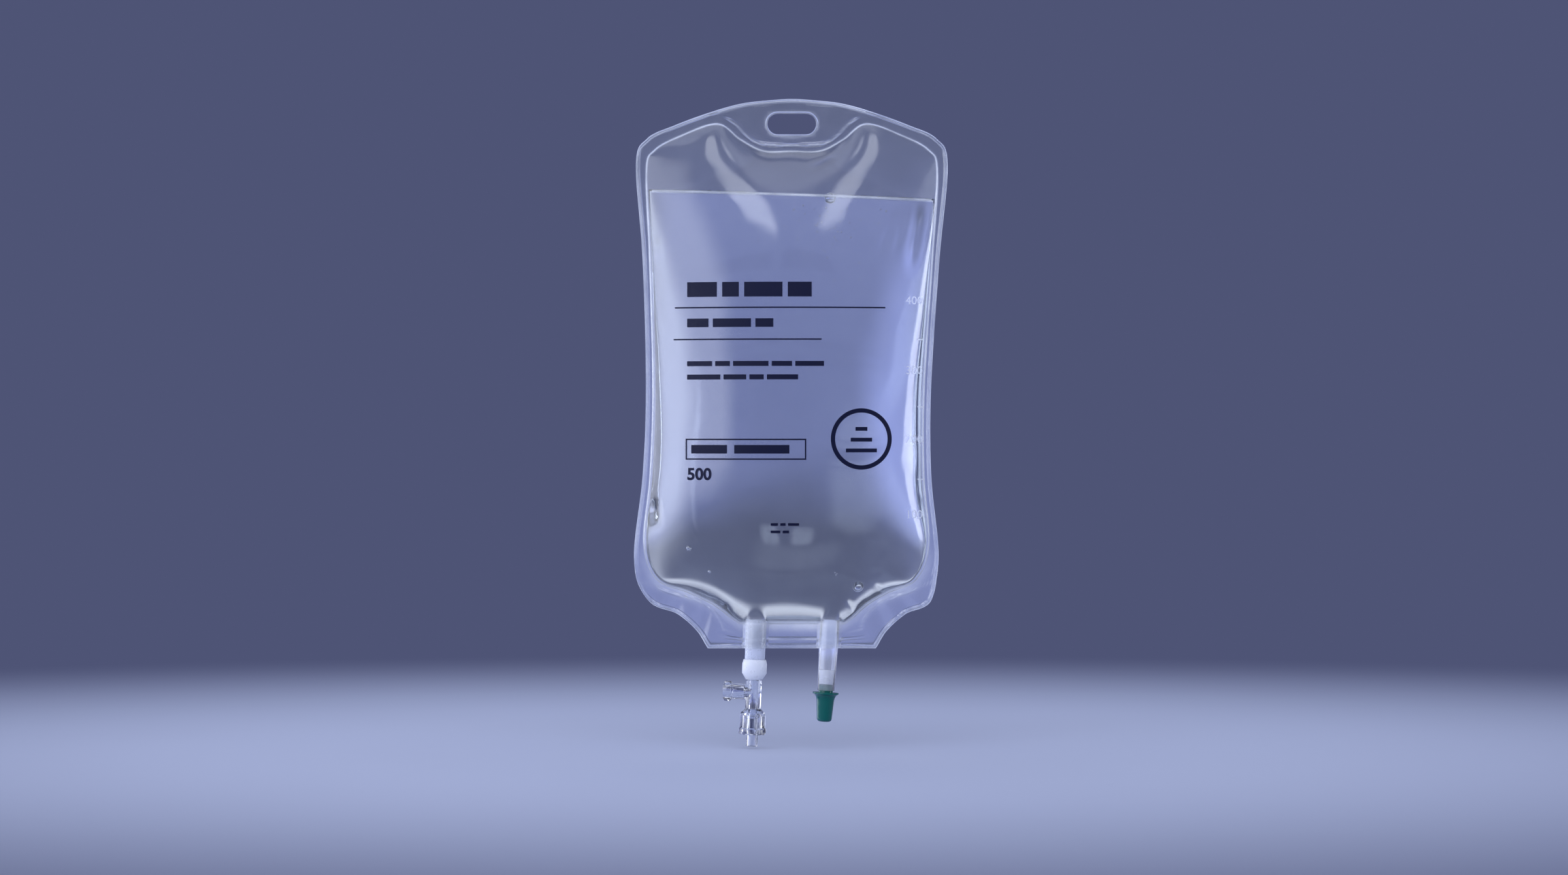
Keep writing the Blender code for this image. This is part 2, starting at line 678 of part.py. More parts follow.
def spike_bush(finish, spike):
    """Cup in the tube whose floor is the membrane that the spike pierces."""
    bore = spike_bore_radius(BUSH_END) - FIT_GAP - BUSH_WALL
    profile = [
        (0, BUSH_FLOOR - BUSH_END),
        (bore, BUSH_FLOOR - BUSH_END),
        (bore, -BUSH_TOP),
        (spike_bore_radius(BUSH_TOP) - FIT_GAP, -BUSH_TOP),
        (spike_bore_radius(BUSH_END) - FIT_GAP, -BUSH_END),
        (0, -BUSH_END),
    ]
    return add_mesh("spike_bush", turned(profile), finish, spike)


def stopper(finish, spike):
    """Pull-out stopper: a spigot in the tube's end, a trumpet rim to pull on, and a round-ended body."""
    top = BUSH_END + RUNNING_GAP
    spigot_top = spike_bore_radius(SPIKE_TUBE_END) - FIT_GAP
    rim = STOPPER_RIM_DEPTH
    flare_top = rim + STOPPER_RIM_THICKNESS
    flare_end = flare_top + STOPPER_FLARE_LENGTH
    flare = arc(
        (STOPPER_RIM_RADIUS, -flare_end),
        math.pi / 2,
        math.pi,
        FLARE_STEPS,
        (STOPPER_RIM_RADIUS - STOPPER_BODY_RADIUS, STOPPER_FLARE_LENGTH),
    )
    rounding = arc(
        (STOPPER_END_RADIUS - STOPPER_ROUNDING, STOPPER_ROUNDING - STOPPER_END),
        0,
        -math.pi / 2,
        ROUNDING_STEPS,
        (STOPPER_ROUNDING, STOPPER_ROUNDING),
    )
    profile = [
        (0, -top),
        (spigot_top, -top),
        (spigot_top, -rim),
        (STOPPER_RIM_RADIUS, -rim),
        *flare,
        *rounding,
        (0, -STOPPER_END),
    ]
    profile = [(radius, z + top) for radius, z in profile]
    return add_mesh("stopper", turned(profile), finish, spike, (0, 0, -top))


def main():
    clear_scene()
    clear_film = material("clear_film", (0.80, 0.84, 0.93), 0.15, 0.25)
    solution = material("solution", (0.75, 0.82, 0.95), 0.02, 0.35)
    milky = material("milky_tube", (0.80, 0.82, 0.90), 0.40, 0.85)
    white = material("milky_moulding", (0.82, 0.83, 0.90), 0.35)
    moulded = material("clear_moulding", (0.85, 0.88, 0.96), 0.08, 0.40)
    green = material("green_moulding", (0.02, 0.22, 0.18), 0.25)
    foot = -FOOT_DEPTH
    outlet = empty("outlet_axis", (-PORT_OFFSET, 0, foot), (0, OUTLET_LEAN, 0))
    spike = empty("spike_axis", (PORT_OFFSET, 0, foot), (0, SPIKE_LEAN, 0))
    rings = film_rings()
    film("front_film", -1, rings, clear_film)
    film("back_film", 1, rings, clear_film)
    fluid(rings, solution, outlet, spike)
    outlet_tube(milky, outlet)
    outlet_membrane(white, outlet)
    outlet_collar(white, outlet)
    tee_connector(moulded, outlet)
    lock_collar(moulded, outlet)
    spike_tube(milky, spike)
    spike_bush(white, spike)
    stopper(green, spike)


main()
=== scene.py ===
# %% [markdown]
# # An infusion bag, hanging full
# The bag is two sheets of clear soft film, welded round their edge, with half a litre of solution
# between them and two port tubes in the bottom weld. Everything that one sees of it is either a
# reflection in the film or the room bent by the liquid, so most of this lesson goes into smooth,
# finely divided surfaces and into a room that is worth bending.
#
# The frame holds the solids with their true places. It could be dressed as it stands, but facets
# of two millimetres show at once in clear film, so the films and the liquid are made again here on
# the same outline, and the hard little mouldings keep their solids and only get a finish.

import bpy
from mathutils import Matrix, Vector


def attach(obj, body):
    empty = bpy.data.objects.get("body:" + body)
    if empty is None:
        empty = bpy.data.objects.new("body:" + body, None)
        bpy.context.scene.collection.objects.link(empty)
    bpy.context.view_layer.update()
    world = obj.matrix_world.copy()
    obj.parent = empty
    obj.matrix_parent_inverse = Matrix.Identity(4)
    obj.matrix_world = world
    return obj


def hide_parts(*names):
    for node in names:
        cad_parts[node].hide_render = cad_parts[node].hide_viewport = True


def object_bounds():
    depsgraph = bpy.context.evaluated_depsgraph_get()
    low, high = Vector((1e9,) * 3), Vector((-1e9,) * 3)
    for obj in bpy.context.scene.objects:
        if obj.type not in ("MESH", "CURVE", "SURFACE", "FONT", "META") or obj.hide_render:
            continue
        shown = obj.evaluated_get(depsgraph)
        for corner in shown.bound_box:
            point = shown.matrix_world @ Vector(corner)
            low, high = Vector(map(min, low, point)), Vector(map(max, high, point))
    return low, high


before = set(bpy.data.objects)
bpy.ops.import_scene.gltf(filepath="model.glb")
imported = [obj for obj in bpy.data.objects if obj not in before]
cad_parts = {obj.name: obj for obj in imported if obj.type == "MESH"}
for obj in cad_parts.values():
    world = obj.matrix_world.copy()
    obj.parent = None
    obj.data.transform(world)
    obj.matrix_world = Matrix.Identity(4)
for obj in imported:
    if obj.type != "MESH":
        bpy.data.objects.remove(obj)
cad_low, cad_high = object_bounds()
print("frame box, mm:", [round(1000 * value) for value in (*cad_low, *cad_high)])

# %% [markdown]
# Three modules do most of the rest: numpy for sums over many points at once, bmesh for meshes, and
# Blender's own types. Every new piece is made, cut and joined by the same few helpers. A modifier
# could stay on a piece, but it would be worked out again for every question asked of the scene,
# so `settle` turns its result into the mesh.

# %% Modules
import math
import random

import bmesh
import bpy
import numpy as np
from mathutils import Matrix, Vector
from mathutils.bvhtree import BVHTree

scene = bpy.context.scene

# %% Making, cutting and joining pieces
SHARP_ANGLE = math.radians(40)


def add_object(name, bm, finish=None):
    """An object from bm with its faces out, shaded smooth up to a sharp angle."""
    bmesh.ops.recalc_face_normals(bm, faces=bm.faces)
    mesh = bpy.data.meshes.new(name)
    bm.to_mesh(mesh)
    bm.free()
    mesh.shade_smooth()
    mesh.set_sharp_from_angle(angle=SHARP_ANGLE)
    made = bpy.data.objects.new(name, mesh)
    scene.collection.objects.link(made)
    if finish:
        mesh.materials.append(finish)
    return made


def give_finish(made, finish):
    """Makes finish the only one on a piece."""
    made.data.materials.clear()
    made.data.materials.append(finish)


def settle(made):
    """Puts the result of the modifiers into the mesh, and drops the modifiers."""
    graph = bpy.context.evaluated_depsgraph_get()
    result = bpy.data.meshes.new_from_object(made.evaluated_get(graph))
    result.name = made.name
    made.modifiers.clear()
    made.data = result
    result.shade_smooth()
    result.set_sharp_from_angle(angle=SHARP_ANGLE)
    return made


def cut_or_join(made, operation, tool):
    """One exact Boolean with tool, which is then deleted."""
    step = made.modifiers.new(operation.lower(), "BOOLEAN")
    step.operation = operation
    step.solver = "EXACT"
    step.object = tool
    settle(made)
    bpy.data.objects.remove(tool, do_unlink=True)
    return made

# %% [markdown]
# ## The outline
# The die that welds the bag draws two lines: the outer edge of the film, and the line inside it
# where the weld ends and the pouch begins. Half of each line is enough, because the die is the
# same on both sides. Each has the same fifteen places, so that place 6 on one belongs to place 6
# on the other, and a smooth curve runs through them.

# %% Outline of the film and of the pouch
EDGE_POINTS = (
    (0.0, 0.0061), (0.0120, 0.0053), (0.0220, 0.0039), (0.0340, 0.0005), (0.0490, -0.0049),
    (0.0608, -0.0105), (0.0656, -0.0215), (0.0624, -0.0620), (0.0600, -0.1150), (0.0607, -0.1520),
    (0.0641, -0.1870), (0.0595, -0.2050), (0.0478, -0.2108), (0.0398, -0.2180), (0.0353, -0.2251),
)
POUCH_POINTS = (
    (0.0, -0.0159), (0.0120, -0.0158), (0.0217, -0.0110), (0.0312, -0.0045), (0.0460, -0.0092),
    (0.0576, -0.0154), (0.0612, -0.0245), (0.0594, -0.0620), (0.0570, -0.1150), (0.0575, -0.1520),
    (0.0599, -0.1810), (0.0547, -0.1960), (0.0423, -0.2015), (0.0323, -0.2068), (0.0255, -0.2124),
)
SPANS = tuple(4 * count for count in (2, 2, 2, 2, 3, 3, 3, 3, 2, 3, 2, 3, 2, 2))
SHOULDER_PLACE = 6
EAR_PLACE = 10
FOOT_DEPTH = 0.2251
POUCH_FOOT_DEPTH = 0.2147
SPINE_TOP_DEPTH = 0.0650
SPINE_FOOT_DEPTH = 0.1650


def smooth_curve(points, counts):
    """A curve through points, with counts[i] even steps on span i. It starts level."""
    points = [np.array(p, float) for p in points]
    padded = [points[1] * (-1, 1), *points, 2 * points[-1] - points[-2]]
    curve = []
    for i, count in enumerate(counts):
        a, b, c, d = padded[i : i + 4]
        for t in np.arange(count) / count:
            bend = (2 * a - 5 * b + 4 * c - d) * t**2 + (3 * b - a - 3 * c + d) * t**3
            curve.append(0.5 * (2 * b + (c - a) * t + bend))
    curve.append(points[-1])
    return np.array(curve)

# %% [markdown]
# Two tubes come out of the bottom weld, and each leans a little outwards. Their axes are straight
# lines in the plane of the weld, so a tube is a place at the foot of the film, a lean and a radius.
# The film wraps over each tube like a tent: round on top, then straight down to the weld.

# %% The two tubes in the bottom weld
PORT_OFFSET = 0.0154
OUTLET_LEAN = math.radians(2.05)
SPIKE_LEAN = math.radians(3.36)
OUTLET_RADIUS = 0.00425
SPIKE_RADIUS = 0.0040
SLEEVE_GAP = 0.0003
SLEEVE_WRAP = math.radians(60)
SLEEVE_FADE = (0.001, 0.014)
TUBE_TOP = -0.2129
PORTS = ((-PORT_OFFSET, OUTLET_LEAN, OUTLET_RADIUS), (PORT_OFFSET, SPIKE_LEAN, SPIKE_RADIUS))
SLEEVE_SHARES = np.array((1.5, 1.155, 0.87, 0.60, 0.30, 0.0, -0.30, -0.60, -0.87, -1.155, -1.5))
SLEEVE_STEPS = 3


def smoothstep(value, low, high):
    """0 up to low and 1 from high on, with a soft S between them."""
    share = np.clip((value - low) / (high - low), 0, 1)
    return share * share * (3 - 2 * share)


def axis_x(port, z):
    """Where a port's leaning axis stands at height z."""
    foot_x, lean, _ = port
    return foot_x + (z + FOOT_DEPTH) * math.tan(lean)


def sleeve_height(x, z):
    """How far the film stands off the weld plane to pass over the tubes."""
    height = np.zeros_like(x)
    for port in PORTS:
        radius = port[2] + SLEEVE_GAP
        off = np.abs(x - axis_x(port, z))
        crown = np.sqrt(np.maximum(radius**2 - off**2, 0))
        web = np.maximum(radius / math.sin(SLEEVE_WRAP) - off, 0) * math.tan(SLEEVE_WRAP)
        tent = np.where(off < radius * math.sin(SLEEVE_WRAP), crown, web)
        fade = 1 - smoothstep(z, TUBE_TOP + SLEEVE_FADE[0], TUBE_TOP + SLEEVE_FADE[1])
        height = np.maximum(height, tent * fade)
    return height

# %% [markdown]
# ## A mesh that follows the weld
# A plain grid would cross the weld line in steps, and light would catch on each step. Here lines
# run from places on the outer edge to the pouch line and on to a spine down the middle, like the
# threads of a web. Rings across those lines are close together where the film turns sharply, and
# wide apart in the calm middle.

# %% Stations round the bag
GAP_LINES = 10


def stations():
    """(edge, pouch, spine) points of each line of the web, going round the bag once."""
    edge = smooth_curve(EDGE_POINTS, SPANS)
    pouch = smooth_curve(POUCH_POINTS, SPANS)
    first, last = sum(SPANS[:SHOULDER_PLACE]), sum(SPANS[:EAR_PLACE])
    down = np.clip((np.arange(len(edge)) - first) / (last - first), 0, 1)
    spine_z = -SPINE_TOP_DEPTH - down * (SPINE_FOOT_DEPTH - SPINE_TOP_DEPTH)
    right = [(e, p, (0.0, s)) for e, p, s in zip(edge, pouch, spine_z)]
    count = len(SLEEVE_SHARES)
    steps = np.linspace(0, count - 1, (count - 1) * SLEEVE_STEPS + 1)
    fine = np.interp(steps, np.arange(count), SLEEVE_SHARES)
    spine_foot = (0.0, -SPINE_FOOT_DEPTH)
    foot = []
    for port in reversed(PORTS):
        for share in fine:
            off = share * (port[2] + SLEEVE_GAP)
            rows = [(axis_x(port, -depth) + off, -depth) for depth in (FOOT_DEPTH, POUCH_FOOT_DEPTH)]
            foot.append((*rows, spine_foot))
    gap = np.linspace(foot[len(fine) - 1][1][0], foot[len(fine)][1][0], GAP_LINES + 2)[1:-1]
    middle = [((x, -FOOT_DEPTH), (x, -POUCH_FOOT_DEPTH), spine_foot) for x in gap]
    foot[len(fine):len(fine)] = middle
    left = [tuple((-x, z) for x, z in row) for row in reversed(right[1:])]
    return np.array([np.array(row, float) for row in right + foot + left])


web = stations()
edge_line, pouch_line, spine_line = np.moveaxis(web, 1, 0)
print("lines in the web:", len(web))

# %% Rings across the lines
NEAR_EDGE = np.array((0.0, 0.0003, 0.0006, 0.0009, 0.0012, 0.0017))
NEAR_POUCH = np.array((0.0034, 0.0030, 0.0026, 0.0022, 0.0017, 0.0011, 0.0005))
WIDE_WELD = 0.0065
MIDDLE_RINGS = 12
POUCH_RINGS = 40
RING_GRADING = 1.6


def ring_points():
    """Points (x, z) of each ring, from the outer edge to the spine."""
    reach = np.linalg.norm(pouch_line - edge_line, axis=1)
    squeeze = np.minimum(1, reach / WIDE_WELD)
    distances = [near * squeeze for near in NEAR_EDGE]
    start, end = NEAR_EDGE[-1] * squeeze, reach - NEAR_POUCH[0] * squeeze
    for share in np.arange(1, MIDDLE_RINGS + 1) / (MIDDLE_RINGS + 1):
        distances.append(start + (end - start) * share)
    distances += [reach - near * squeeze for near in NEAR_POUCH]
    rings = [edge_line + (pouch_line - edge_line) * (d / reach)[:, None] for d in distances]
    for share in (np.arange(POUCH_RINGS + 1) / POUCH_RINGS) ** RING_GRADING:
        rings.append(pouch_line + (spine_line - pouch_line) * share)
    return np.array(rings)


rings = ring_points()
POUCH_RING = len(rings) - POUCH_RINGS - 1
print("rings:", len(rings), "of which outside the pouch:", POUCH_RING)

# %% [markdown]
# ## The shape of a full pouch
# Soft film under pressure does what a soap film does: its curvature is the pressure over the
# tension. Pressure in a hanging bag grows with depth, so the belly sits low. A cloth simulation
# would find this shape too, with folds where chance puts them. Solving the film's own equation
# gives a calm surface that is the same every time, and folds are laid in one by one afterwards.
#
# The equation is solved on the web itself. Each edge between two points pulls with a weight from
# the angles opposite it, and conjugate gradients find the heights at which all pulls balance.

# %% Solve the stretched film
BULGE = 0.0221
TOP_LOAD = 0.25
ROUNDNESS = 0.75
SOLVER_STEPS = 1500
SOLVER_END = 1e-7
PLACE_DIGITS = 7
LEAST_AREA = 1e-13


def stretched_film(grid):
    """Height of a film pinned at the first ring of the grid and loaded by the depth of each point."""
    ring_count, line_count = grid.shape[:2]
    flat = grid.reshape(-1, 2)
    _, first, index = np.unique(
        np.round(flat, PLACE_DIGITS), axis=0, return_index=True, return_inverse=True
    )
    index = index.reshape(-1)
    points = flat[first]
    number = index.reshape(ring_count, line_count)
    beside = np.roll(number, -1, axis=1)
    one = np.stack([number[:-1], beside[:-1], beside[1:]], axis=-1).reshape(-1, 3)
    two = np.stack([number[:-1], beside[1:], number[1:]], axis=-1).reshape(-1, 3)
    corners = np.concatenate([one, two])
    a, b, c = (points[corners[:, i]] for i in range(3))
    area = np.abs((b - a)[:, 0] * (c - a)[:, 1] - (b - a)[:, 1] * (c - a)[:, 0]) / 2
    keep = area > LEAST_AREA
    corners, area = corners[keep], area[keep]
    starts, ends, pulls = [], [], []
    for i in range(3):
        top, left, right = (points[corners[:, (i + n) % 3]] for n in range(3))
        starts.append(corners[:, (i + 1) % 3])
        ends.append(corners[:, (i + 2) % 3])
        pulls.append(((left - top) * (right - top)).sum(axis=1) / area / 4)
    starts, ends, pulls = map(np.concatenate, (starts, ends, pulls))
    count = len(points)
    free = np.ones(count, bool)
    free[number[0]] = False
    share = np.bincount(corners.ravel(), np.repeat(area / 3, 3), count)
    load = share * (TOP_LOAD - points[:, 1] / POUCH_FOOT_DEPTH) * free
    diagonal = np.bincount(starts, pulls, count) + np.bincount(ends, pulls, count)
    diagonal = np.where(free, diagonal, 1)

    def pull(heights):
        step = pulls * (heights[starts] - heights[ends])
        return (np.bincount(starts, step, count) - np.bincount(ends, step, count)) * free

    height = np.zeros(count)
    left_over = load.copy()
    eased = left_over / diagonal
    direction = eased.copy()
    strength = left_over @ eased
    goal = strength * SOLVER_END**2
    for used in range(SOLVER_STEPS):
        pushed = pull(direction)
        length = strength / (direction @ pushed)
        height += length * direction
        left_over -= length * pushed
        eased = left_over / diagonal
        stronger = left_over @ eased
        if stronger < goal:
            break
        direction = eased + direction * (stronger / strength)
        strength = stronger
    print("film solved in", used, "steps on", count, "points")
    return np.maximum(height[number], 0)


pouch_rings = rings[POUCH_RING:]
skin = stretched_film(pouch_rings)
belly = np.zeros(rings.shape[:2])
belly[POUCH_RING:] = BULGE * (skin / skin.max()) ** ROUNDNESS
print("half thickness, mm:", round(1000 * belly.max(), 2))

# %% [markdown]
# ## Folds, ripples and weld lines
# Filled film is never a perfect lens. It has soft undulations from the roll, a few creases where
# the sides pinch, and beads of squeezed-out plastic beside the weld. All of them are heights added
# to the film, so that the liquid behind takes the same shape and bends the light with it.

# %% Creases
# Each crease runs from one point to another with a width and a depth, in metres.
CREASES = (
    ((0.0452, -0.0405), (0.0360, -0.0580), 0.0011, 0.00045),
    ((0.0474, -0.0420), (0.0428, -0.0570), 0.0010, 0.00040),
    ((0.0535, -0.0400), (0.0495, -0.0640), 0.0020, 0.00080),
    ((-0.0565, -0.0540), (-0.0535, -0.0610), 0.0008, 0.00050),
    ((-0.0600, -0.1680), (-0.0525, -0.1665), 0.0040, 0.00220),
    ((-0.0575, -0.1400), (-0.0560, -0.1600), 0.0016, 0.00060),
    ((0.0205, -0.0150), (0.0245, -0.0090), 0.0010, 0.00040),
    ((0.0080, -0.0225), (0.0180, -0.0175), 0.0013, 0.00035),
    ((-0.0500, -0.0120), (-0.0385, -0.0090), 0.0018, 0.00060),
    ((0.0245, -0.2040), (0.0250, -0.2110), 0.0010, 0.00060),
    ((0.0370, -0.1970), (0.0385, -0.2020), 0.0009, 0.00050),
    ((0.0520, -0.1430), (0.0470, -0.1490), 0.0025, 0.00022),
    ((-0.0260, -0.2050), (-0.0290, -0.2085), 0.0012, 0.00040),
)
CREASE_START, CREASE_END = (-0.15, 0.3), (0.7, 1.15)


def ridge(off, width):
    """1 where off is 0, falling away over width to both sides."""
    return np.exp(-((off / width) ** 2))


def crease_depth(x, z):
    """How far the creases press the film in."""
    depth = np.zeros_like(x)
    for start, end, width, deep in CREASES:
        run = np.array(end) - np.array(start)
        length = np.linalg.norm(run)
        along = ((x - start[0]) * run[0] + (z - start[1]) * run[1]) / length**2
        across = ((x - start[0]) * run[1] - (z - start[1]) * run[0]) / length
        fade = smoothstep(along, *CREASE_START) * (1 - smoothstep(along, *CREASE_END))
        depth += deep * fade * ridge(across, width)
    return depth

# %% Ripples
RIPPLE_HEIGHT = 0.00005
RIPPLE_LENGTHS = (0.022, 0.060)
RIPPLE_TURN, RIPPLE_STRETCH = 0.5, 0.6
RIPPLE_COUNT = 9
dice = random.Random(5)


def ripples(x, z):
    """Soft undulations left in the film by the roll and the filling."""
    total = np.zeros_like(x)
    for _ in range(RIPPLE_COUNT):
        length = dice.uniform(*RIPPLE_LENGTHS)
        turn = dice.gauss(0, RIPPLE_TURN)
        phase = dice.uniform(0, 2 * math.pi)
        wave = (x * math.cos(turn) + z * math.sin(turn) * RIPPLE_STRETCH) * 2 * math.pi / length
        total += np.sin(wave + phase)
    return RIPPLE_HEIGHT * total

# %% Weld lines
EDGE_BEAD_INSET = 0.0010
BEAD_WIDTH = 0.00045
BEAD_HEIGHT = 0.00040
WHITE_WIDTH = 0.00030
BEAD_WHITE, EDGE_WHITE, POUCH_WHITE = 0.25, 0.55, 0.65
LOW_RIM_WHITE, LOW_RIM_WIDTH, LOW_RIM_SPAN = 0.32, 0.0026, (-0.1960, -0.1800)
PORT_RIM_WHITE, PORT_RIM_SPAN = 0.40, (0.0095, 0.0115)
DIP_BEAD = (
    (0.0, -0.0133), (0.0090, -0.0132), (0.0150, -0.0122),
    (0.0195, -0.0090), (0.0230, -0.0052), (0.0268, -0.0025),
)
EAR_BEAD = (
    (0.0615, -0.1930), (0.0548, -0.1994), (0.0470, -0.2025), (0.0400, -0.2045),
    (0.0340, -0.2085), (0.0300, -0.2140), (0.0283, -0.2205),
)
FOOT_BEAD = ((0.0283, -0.2216), (0.0, -0.2212))
BEAD_STEPS = 6


def distance_to(x, z, line):
    """Distance of each point to the nearest of the line's straight pieces."""
    nearest = np.full(x.shape, 1.0)
    for (x0, z0), (x1, z1) in zip(line, line[1:]):
        run_x, run_z = x1 - x0, z1 - z0
        share = ((x - x0) * run_x + (z - z0) * run_z) / (run_x**2 + run_z**2)
        share = np.clip(share, 0, 1)
        away = np.hypot(x - x0 - share * run_x, z - z0 - share * run_z)
        nearest = np.minimum(nearest, away)
    return nearest


BEADS = [smooth_curve(line, (BEAD_STEPS,) * (len(line) - 1)) for line in (DIP_BEAD, EAR_BEAD)]
BEADS.append(np.array(FOOT_BEAD))
EDGE_LOOP, POUCH_LOOP = (np.concatenate([line, line[:1]]) for line in (edge_line, pouch_line))


def near_beads(x, z, width):
    """1 on the beads beside the weld, falling away over width to both sides."""
    total = ridge(distance_to(x, z, EDGE_LOOP) - EDGE_BEAD_INSET, width)
    for line in BEADS:
        total = np.maximum(total, ridge(distance_to(np.abs(x), z, line), width))
    return total


def whiteness(x, z):
    """How white the die has left the film, from 0 to 1."""
    pouch = distance_to(x, z, POUCH_LOOP)
    total = BEAD_WHITE * near_beads(x, z, WHITE_WIDTH)
    total = np.maximum(total, POUCH_WHITE * ridge(pouch, WHITE_WIDTH))
    total = np.maximum(total, EDGE_WHITE * ridge(distance_to(x, z, EDGE_LOOP), WHITE_WIDTH))
    low = 1 - smoothstep(z, *LOW_RIM_SPAN)
    between = 1 - smoothstep(np.abs(x), *PORT_RIM_SPAN)
    rim = LOW_RIM_WHITE + PORT_RIM_WHITE * between
    return np.maximum(total, rim * low * ridge(pouch, LOW_RIM_WIDTH))

# %% Flutes below the pouch, and the bow of the header
FLUTE_HEIGHT = 0.0006
FLUTE_LENGTH, FLUTE_SLANT = 0.0135, 0.35
FLUTE_START, FLUTE_END, FLUTE_SPAN = (0.027, 0.036), (0.054, 0.064), (-0.2100, -0.1980)
HEADER_WAVE = 0.0013
HEADER_LENGTH = 0.058
HEADER_RISE, HEADER_END = (-0.0450, -0.0080), (0.040, 0.060)


def flutes(x, z):
    """Sideways waves in the flat film below the pouch's corners, zero at the tubes and the slot."""
    folded = np.abs(x)
    place = smoothstep(folded, *FLUTE_START) * (1 - smoothstep(folded, *FLUTE_END))
    low = 1 - smoothstep(z, *FLUTE_SPAN)
    return FLUTE_HEIGHT * place * low * np.sin(2 * math.pi * (folded + FLUTE_SLANT * z) / FLUTE_LENGTH)


def header_wave(x, z):
    """The header bows forwards a little to both sides of the slot, and is flat at its ends."""
    high = smoothstep(z, *HEADER_RISE)
    inner = 1 - smoothstep(np.abs(x), *HEADER_END)
    return HEADER_WAVE * high * inner * (np.cos(2 * math.pi * x / HEADER_LENGTH) - 1) / 2

# %% [markdown]
# The bag hangs a touch to its left, so the pouch sways over by two millimetres between the
# shoulders and the ears, and the ports stay under the slot.

# %% Heights of the film at every point
SWAY, SWAY_FALL, SWAY_CATCH = 0.0023, (0.0215, 0.1870), (0.1940, 0.2127)
SOFT_HEIGHT = 0.006
LEAST_BELLY = 0.15
BEAD_CLEARANCE = 0.0006
JOIN_POWER = 4


def sway(z):
    """How far the pouch has swung aside at height z."""
    return SWAY * smoothstep(-z, *SWAY_FALL) * (1 - smoothstep(-z, *SWAY_CATCH))


flat_x, flat_z = rings[..., 0], rings[..., 1]
web_x = flat_x - sway(flat_z)
web_z = flat_z
soft = np.clip(belly / SOFT_HEIGHT, 0, 1)
full = np.maximum(belly - crease_depth(flat_x, flat_z) * soft, LEAST_BELLY * belly)
full = full + ripples(flat_x, flat_z) * soft
standing = (full**JOIN_POWER + sleeve_height(web_x, web_z) ** JOIN_POWER) ** (1 / JOIN_POWER)
bare = 1 - np.clip(standing / BEAD_CLEARANCE, 0, 1)
beads = BEAD_HEIGHT * near_beads(flat_x, flat_z, BEAD_WIDTH) * bare
wave = flutes(flat_x, flat_z) + header_wave(flat_x, flat_z)
print("film heights, mm:", round(1000 * standing.min(), 3), "to", round(1000 * standing.max(), 2))

# %% [markdown]
# ## Finishes
# Clear film, clear mouldings and the solution are all glass to a renderer. They differ in how much
# they bend light, how clear their skin is and how strongly they tint; the solution's tint is painted
# shade, since the solution is clear. One maker starts them all, and noise at the scale of the real
# skin then gives relief and, on all but water, roughness.

# %% Helpers for nodes
def feed(tree, socket, value):
    """Joins a socket to the one that value is, or sets it to a plain value."""
    if isinstance(value, bpy.types.NodeSocket):
        tree.links.new(value, socket)
    else:
        socket.default_value = value


def add_node(tree, kind, **values):
    """A node whose inputs are fed by name."""
    made = tree.nodes.new(kind)
    for name, value in values.items():
        feed(tree, made.inputs[name.replace("_", " ")], value)
    return made


def math_node(tree, operation, *values):
    """The result of one sum on sockets or numbers."""
    made = tree.nodes.new("ShaderNodeMath")
    made.operation = operation
    for socket, value in zip(made.inputs, values):
        feed(tree, socket, value)
    return made.outputs["Value"]


def mix_node(tree, share, first, second):
    """Goes from first to second, two colours or two numbers, as share goes from 0 to 1."""
    made = tree.nodes.new("ShaderNodeMix")
    made.data_type = "RGBA" if isinstance(first, tuple) else "FLOAT"
    for name, value in (("Factor", share), ("A", first), ("B", second)):
        feed(tree, made.inputs[name], value)
    return made.outputs["Result"]


def range_node(tree, value, span, low, high, smooth=True):
    """Runs from low to high while value runs through span."""
    made = tree.nodes.new("ShaderNodeMapRange")
    made.interpolation_type = "SMOOTHSTEP" if smooth else "LINEAR"
    names = ("Value", "From Min", "From Max", "To Min", "To Max")
    for name, number in zip(names, (value, *span, low, high)):
        feed(tree, made.inputs[name], number)
    return made.outputs["Result"]


def place_parts(tree, kind, output):
    """The X, Y and Z sockets of a place that a node of this kind gives."""
    place = tree.nodes.new(kind)
    return add_node(tree, "ShaderNodeSeparateXYZ", Vector=place.outputs[output]).outputs

# %% A maker of clear finishes
NOISE_SPAN = (0.3, 0.7)
SKIN_SCALE = 120


def noise_between(tree, scale, low, high):
    """A noise texture in metres whose value runs from low to high."""
    place = tree.nodes.new("ShaderNodeTexCoord").outputs["Object"]
    noise = add_node(tree, "ShaderNodeTexNoise", Scale=scale, Vector=place)
    return range_node(tree, noise.outputs["Fac"], NOISE_SPAN, low, high, smooth=False)


def new_finish(name, color, ior=1.45, transmission=0.0):
    """A finish with its node tree and its shader, still without noise."""
    made = bpy.data.materials.new(name)
    made.use_nodes = True
    shader = made.node_tree.nodes["Principled BSDF"]
    shader.inputs["Base Color"].default_value = (*color, 1.0)
    shader.inputs["IOR"].default_value = ior
    shader.inputs["Transmission Weight"].default_value = transmission
    return made, made.node_tree, shader


def add_relief(tree, shader, scale, height):
    """Relief of the given height, in metres, from noise at the given scale."""
    relief = noise_between(tree, scale, 0.0, 1.0)
    bump = add_node(tree, "ShaderNodeBump", Strength=1.0, Distance=height, Height=relief)
    tree.links.new(bump.outputs["Normal"], shader.inputs["Normal"])


def clear_finish(name, color, ior, roughness, relief):
    """Glass-like finish. roughness is a range, and relief a scale and a height."""
    made, tree, shader = new_finish(name, color, ior, 1.0)
    tree.links.new(noise_between(tree, SKIN_SCALE, *roughness), shader.inputs["Roughness"])
    add_relief(tree, shader, *relief)
    return made


